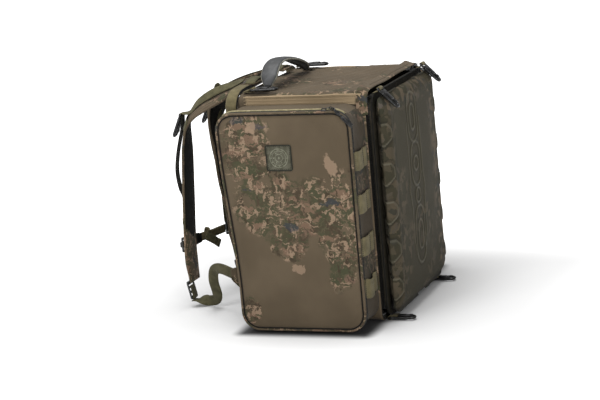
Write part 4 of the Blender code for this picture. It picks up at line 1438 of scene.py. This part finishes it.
def make_anchors(side, sign):
    low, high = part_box(f"strap_wing_{side}")
    x = (low.x + high.x) / 2
    wing = Form(f"wing_panel_{side}").use(CAMO)
    outline = [(low.y, 0.030), (0.196, 0.080), (0.200, 0.085),
               (0.200, 0.106), (0.196, 0.110), (low.y, 0.125)]
    place = Matrix(((0, 0, 1, x), (1, 0, 0, 0), (0, 1, 0, 0), (0, 0, 0, 1)))
    wing.plate([outline], 0.0056, place, bevel=0.0022)
    wing.use(THREAD_DARK)
    for face in (-1, 1):
        for a, b in (((0.147, 0.036), (0.194, 0.084)), ((0.147, 0.119), (0.194, 0.106)),
                     ((0.186, 0.079), (0.186, 0.110))):
            wing.stitches([(x + face * 0.0028, *a), (x + face * 0.0028, *b)], X_AXIS * face)
    wing.make("pack", "camo_fabric", (f"strap_wing_{side}",))

    route = ADJUSTER_ROUTE[side]
    path = [Vector((sign * px, y, z)) for px, y, z in route]
    across = []
    for i, point in enumerate(path):
        behind, ahead = beside(path, i)
        tangent = (ahead - behind).normalized()
        flat = tangent.cross(X_AXIS).normalized()
        turned = i - (len(path) - 3)
        if turned < 0:
            across.append(flat)
        elif turned == 0:
            across.append((flat * 0.5 + X_AXIS * sign * 0.6).normalized())
        else:
            across.append(X_AXIS * sign)
    strap = Form(f"adjuster_strap_{side}").use(OLIVE)
    strap.band(path, across, 0.0245, 0.0016, spacing=0.003)
    piece = strap.make(None, "olive_webbing", (f"adjuster_webbing_{side}",))
    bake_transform(piece)

    lifter_y = 0.1530
    route = ((0.1825, 0.452), (0.1825, 0.470), (0.1745, 0.485),
             (0.157, 0.4962), (0.136, 0.4995), (0.112, 0.5010))
    lifter = Form(f"load_strap_{side}").use(KHAKI)
    path = [Vector((sign * px, lifter_y - 0.006 * (i / 5) ** 2, z))
            for i, (px, z) in enumerate(route)]
    lifter.band(path, Y_AXIS, 0.0245, 0.0016, spacing=0.003)
    # a dark cord along the strap's front edge: painted shadow of the gap between the load strap and
    # the shell
    edge = catmull([p + Vector((0, -0.0132, -0.0004)) for p in path], 0.004)
    lifter.use(DARK_TAPE).tube(edge, 0.0012, 6)
    lifter.make("pack", "olive_webbing", (f"load_lifter_{side}",))


# ---- chest strap ----------------------------------------------------------------------
def make_chest_strap():
    centres = {}
    for side, sign in SIDES:
        low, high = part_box(f"sternum_slider_{side}")
        centre = (low + high) / 2
        centres[side] = centre
        slider = Form(f"chest_slider_{side}").use(GREY)
        half_x, half_z = (high.x - low.x) / 2, (high.z - low.z) / 2
        outline = round_rect((-half_x, -half_z), (half_x, half_z), 0.004, 0.003, 15)
        slots = [hole((-0.0108, z - 0.0022), (0.0108, z + 0.0022), 0.001, 0.003)
                 for z in (-0.0095, 0.0095)]
        place = Matrix(((1, 0, 0, centre.x), (0, 0, -1, centre.y - 0.0025),
                        (0, 1, 0, centre.z), (0, 0, 0, 1)))
        slider.plate([outline] + slots, 0.0042, place, bevel=0.0010)
        slider.block((centre.x - 0.0105, centre.y - 0.001, centre.z - 0.0062),
                     (centre.x + 0.0105, centre.y + 0.0050, centre.z + 0.0062), 0.0018)
        slider.tube([(centre.x, centre.y + 0.0035, centre.z + dz) for dz in (-0.0150, 0.0150)],
                    0.0016)
        slider.make(f"sternum_{side}", "grey_plastic", (f"sternum_slider_{side}",))
    start = centres["left"] + Vector((0.015, 0, 0))
    end = centres["right"] - Vector((0.015, 0, 0))
    along = (end - start).normalized()
    out = Z_AXIS.cross(along)
    if out.y < 0:
        out = -out
    place = Matrix.Translation(start) @ basis(along, out)
    female = Form("chest_buckle_socket").use(BLACK)
    shape = [(0.0, -0.0085), (0.006, -0.0120), (0.0320, -0.0125),
             (0.0320, 0.0125), (0.006, 0.0120), (0.0, 0.0085)]
    lay = place @ Matrix(((1, 0, 0, 0), (0, 0, 1, 0), (0, 1, 0, 0), (0, 0, 0, 1)))
    for depth in (-0.0041, 0.0041):
        female.plate([shape], 0.0018, lay @ Matrix.Translation((0, 0, depth)), bevel=0.0007)
    for edge in (-1, 1):
        female.block((0.0, -0.0042, edge * 0.0112 - 0.0012),
                     (0.0130, 0.0042, edge * 0.0112 + 0.0012), 0.0008, place)
    female.block((0.0, -0.0042, -0.0085), (0.0110, 0.0042, 0.0085), 0.0010, place)
    female.make("sternum_left", "black_plastic", ("sternum_buckle_female",))
    male = Form("chest_buckle_tongue").use(BLACK)
    shoulder, body_end = 0.0326, 0.0486
    for depth in (-0.0036, 0.0036):
        male.plate([[(shoulder, -0.0120), (body_end, -0.0105),
                     (body_end, 0.0105), (shoulder, 0.0120)]], 0.0018,
                   lay @ Matrix.Translation((0, 0, depth)), bevel=0.0007)
    male.block((shoulder, -0.0040, -0.0115), (shoulder + 0.0024, 0.0040, 0.0115), 0.0008, place)
    for edge in (-1, 1):
        prong = ((shoulder + 0.001, 0, edge * 0.0070), (shoulder - 0.004, 0, edge * 0.0076),
                 (shoulder - 0.0095, 0, edge * 0.0058))
        male.tube(placed_at(place, prong), 0.0016)
    male.tube(placed_at(place, ((shoulder + 0.001, 0, 0), (shoulder - 0.0095, 0, 0))), 0.0015)
    male.make("buckle_release", "black_plastic", ("sternum_buckle_male",))

    # the chest webbing and its fold are paler khaki than the olive tail: painted light on a face
    # that the pack keeps in shade
    webbing = Form("chest_webbing").use(KHAKI)
    first = start + along * (body_end - 0.0008)
    path = [first + along * t + out * bow - Z_AXIS * drop for t, bow, drop in
            ((0, 0, 0), (0.020, 0.0010, 0.0006), (0.045, 0.0012, 0.0014), (0.065, 0.0006, 0.0006))]
    path.append(end)
    webbing.band(path, Z_AXIS, 0.0195, 0.0015, spacing=0.003)
    fold = [first + along * t + out * bow + Z_AXIS * up for t, bow, up in
            ((0.0165, 0.0012, 0), (0.024, 0.0060, 0.003), (0.031, 0.0090, 0.006),
             (0.035, 0.0050, 0.004), (0.033, 0.0020, 0.001))]
    webbing.band(fold, Z_AXIS, 0.0195, 0.0014, spacing=0.002)
    tail_side = (Z_AXIS + along * 0.5).normalized()
    tail = [first + along * t - out * bow - Z_AXIS * drop for t, bow, drop in
            ((0.0170, 0.0012, 0), (0.025, 0.0050, 0.006), (0.040, 0.0070, 0.016),
             (0.057, 0.0060, 0.028))]
    webbing.use(OLIVE).band(tail, tail_side, 0.0190, 0.0015, spacing=0.003)
    tip = tail[-1]
    lead = (tail[-1] - tail[-2]).normalized()
    webbing.band([tip - lead * 0.009 - out * 0.0016, tip - out * 0.0016], tail_side,
                 0.0190, 0.0016, spacing=0.003)
    webbing.use(THREAD_DARK)
    for t in (0.052, 0.055):
        webbing.stitches([first + along * t + out * 0.0022 + Z_AXIS * dz
                          for dz in (-0.009, 0, 0.009)], out)
    webbing.make("sternum_right", "olive_webbing", ("sternum_webbing",))


# ---- back pads: foam in mesh cloth, puffed by a cloth simulation ----------------------
CLOTH_FRAMES = 20
# the furthest that the simulation may move any point of a pad
MOST_PUFF = 0.008


def puff_pad(name, node, channels):
    """Swells a rounded block like air in a cushion, then presses sewn channels into it."""
    low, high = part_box(node)
    margin = Vector((0.004, 0.0, 0.004))
    back = high.y - 0.006
    mesh = rounded_box(name, low + margin, Vector((high.x - 0.004, back, high.z - 0.004)),
                       ((0.012, 0.012), (0.002, 0.010), (0.012, 0.012)), 0.006, SPACER)
    rest, _ = read_points(mesh)
    obj = wrap(name, mesh, "pack", (node,))
    pinned = obj.vertex_groups.new(name="pinned")
    for i, point in enumerate(rest):
        pinned.add([i], 1.0 if point[1] < low.y + 0.003 else 0.0, "REPLACE")
    cloth = obj.modifiers.new("cloth", "CLOTH")
    cloth.settings.use_pressure = True
    cloth.settings.uniform_pressure_force = 4.0
    cloth.settings.effector_weights.gravity = 0.0
    cloth.settings.vertex_group_mass = "pinned"
    cloth.settings.quality = 4
    scene = bpy.context.scene
    for step in range(1, CLOTH_FRAMES + 1):
        scene.frame_set(step)
    ready = obj.evaluated_get(bpy.context.evaluated_depsgraph_get())
    swollen = np.array([v.co[:] for v in ready.data.vertices])
    obj.modifiers.clear()
    scene.frame_set(1)
    move = swollen - rest
    size = np.linalg.norm(move, axis=1, keepdims=True)
    rest = rest + move * np.minimum(1, MOST_PUFF / np.maximum(size, 1e-9))
    x, y, z = rest.T
    sunk = np.zeros(len(rest))
    for channel in channels:
        sunk = np.maximum(sunk, np.exp(-(distance_to_line(x, z, channel) / 0.0050) ** 2))
    outer = ease(low.y + 0.006, low.y + 0.014, y)
    rest[:, 1] -= 0.0075 * sunk * outer
    rest[:, 1] = np.clip(rest[:, 1], low.y, high.y + 0.003)
    write_points(obj.data, rest)


def make_pads():
    puff_pad("back_cushion", "back_pad",
             [[(-0.045, 0.150), (-0.045, 0.470)], [(0.045, 0.150), (0.045, 0.470)],
              [(-0.13, 0.255), (-0.045, 0.275)], [(0.045, 0.275), (0.13, 0.255)],
              [(-0.13, 0.360), (-0.045, 0.375)], [(0.045, 0.375), (0.13, 0.360)]])
    puff_pad("lumbar_cushion", "lumbar_pad",
             [[(-0.045, 0.02), (-0.045, 0.15)], [(0.045, 0.02), (0.045, 0.15)]])
    trim = Form("pad_binding").use(CAMO_TRIM)
    for node in ("back_pad", "lumbar_pad"):
        low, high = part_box(node)
        outline = upright_rect(low, high, 0.001, 0.014)
        trim.tube([(u, low.y + 0.0026, v) for u, v in outline], 0.0026, closed=True)
    trim.make("pack", "camo_fabric")


make_body()
make_main_zip()
make_front_door()
for pack_side, pack_sign in SIDES:
    make_pocket(pack_side, pack_sign)
    make_webbing_loops(pack_side, pack_sign)
    make_pocket_slider(pack_side, pack_sign)
    make_strap(pack_side, pack_sign)
    make_lock(pack_side, pack_sign)
    make_anchors(pack_side, pack_sign)
make_patch()
make_main_sliders()
for spot in clip_spots():
    make_clip(*spot)
make_tabs()
make_handle()
make_chest_strap()
make_pads()
for board in ("base_board", "frame_sheet"):
    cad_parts[board].data.materials.clear()
    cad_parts[board].data.materials.append(BOARD)


# ---- floor, light and camera ----------------------------------------------------------
# half the floor's shaded part in x and y; past it the floor glows, so that it fades to white
FLOOR_SHADED = (0.30, 0.40, 1.0)
# half the size of the ground that the bag stands on; the floor is painted near black round it as a
# contact shadow
PAINTED_SHADOW_FOOTPRINT = (0.268, 0.132, 1.0)


def make_stage():
    bpy.ops.mesh.primitive_plane_add(size=14, location=(0, 0, -0.0006))
    floor = bpy.context.object
    floor.name = "floor"
    look = Look("floor", roughness=0.9, specular=0.0)
    beyond = look.vector("MAXIMUM", look.vector("SUBTRACT", look.vector("ABSOLUTE", look.place),
                                                FLOOR_SHADED), (0, 0, 0))
    under = look.vector("MAXIMUM", look.vector("SUBTRACT", look.vector("ABSOLUTE", look.place),
                                               PAINTED_SHADOW_FOOTPRINT), (0, 0, 0))
    # painted contact shadow: the floor's colour is near black on the footprint, fading out within
    # 35 mm of it
    near = look.step(look.vector("LENGTH", under), 0.0, 0.035)
    look.colour(look.mix(near, (0.06, 0.06, 0.06, 1), look.mix(
        look.noise(look.place, 3, 2), (0.60, 0.60, 0.60, 1), (0.62, 0.62, 0.62, 1))))
    look.feed(look.shader.inputs["Emission Color"], (1, 1, 1, 1))
    look.feed(look.shader.inputs["Emission Strength"],
              look.step(look.vector("LENGTH", beyond), 0.0, 0.45))
    floor.data.materials.append(look.material)


def add_light(name, place, target, size, power):
    data = bpy.data.lights.new(name, "AREA")
    data.shape = "DISK"
    data.size = size
    data.energy = power
    lamp = linked(name, data)
    lamp.location = place
    lamp.rotation_euler = (Vector(target) - Vector(place)).to_track_quat("-Z", "Y").to_euler()


def make_camera():
    target = Vector((0, 0.0888, 0.2228))
    place = Vector((-3.7689, -1.4040, 1.1152))
    data = bpy.data.cameras.new("camera")
    data.lens = 113.1
    data.sensor_width = 36
    camera = linked("camera", data)
    facing = (target - place).to_track_quat("-Z", "Y").to_matrix().to_4x4()
    lean = Matrix.Rotation(math.radians(-5.2), 4, "Z")
    camera.matrix_world = Matrix.Translation(place) @ facing @ lean
    bpy.context.scene.camera = camera


def make_world():
    """White where the camera looks past the floor, and a dimmer sky as a light."""
    world = bpy.data.worlds.new("studio")
    world.use_nodes = True
    tree = world.node_tree
    sky = tree.nodes["Background"]
    sky.inputs["Color"].default_value = (1, 1, 1, 1)
    sky.inputs["Strength"].default_value = 0.42
    backdrop = tree.nodes.new("ShaderNodeBackground")
    backdrop.inputs["Color"].default_value = (1, 1, 1, 1)
    seen = tree.nodes.new("ShaderNodeLightPath")
    choose = tree.nodes.new("ShaderNodeMixShader")
    tree.links.new(seen.outputs["Is Camera Ray"], choose.inputs[0])
    tree.links.new(sky.outputs[0], choose.inputs[1])
    tree.links.new(backdrop.outputs[0], choose.inputs[2])
    tree.links.new(choose.outputs[0], tree.nodes["World Output"].inputs["Surface"])
    bpy.context.scene.world = world


make_stage()
add_light("key", (-2.6, 1.0, 2.4), (0, 0, 0.25), 1.5, 38)
add_light("top", (-0.2, 0.2, 3.4), (0, 0, 0.2), 2.6, 140)
add_light("fill", (-2.9, -2.0, 0.9), (0, -0.1, 0.25), 1.4, 60)
make_world()
bpy.context.scene.view_settings.view_transform = "Standard"
make_camera()
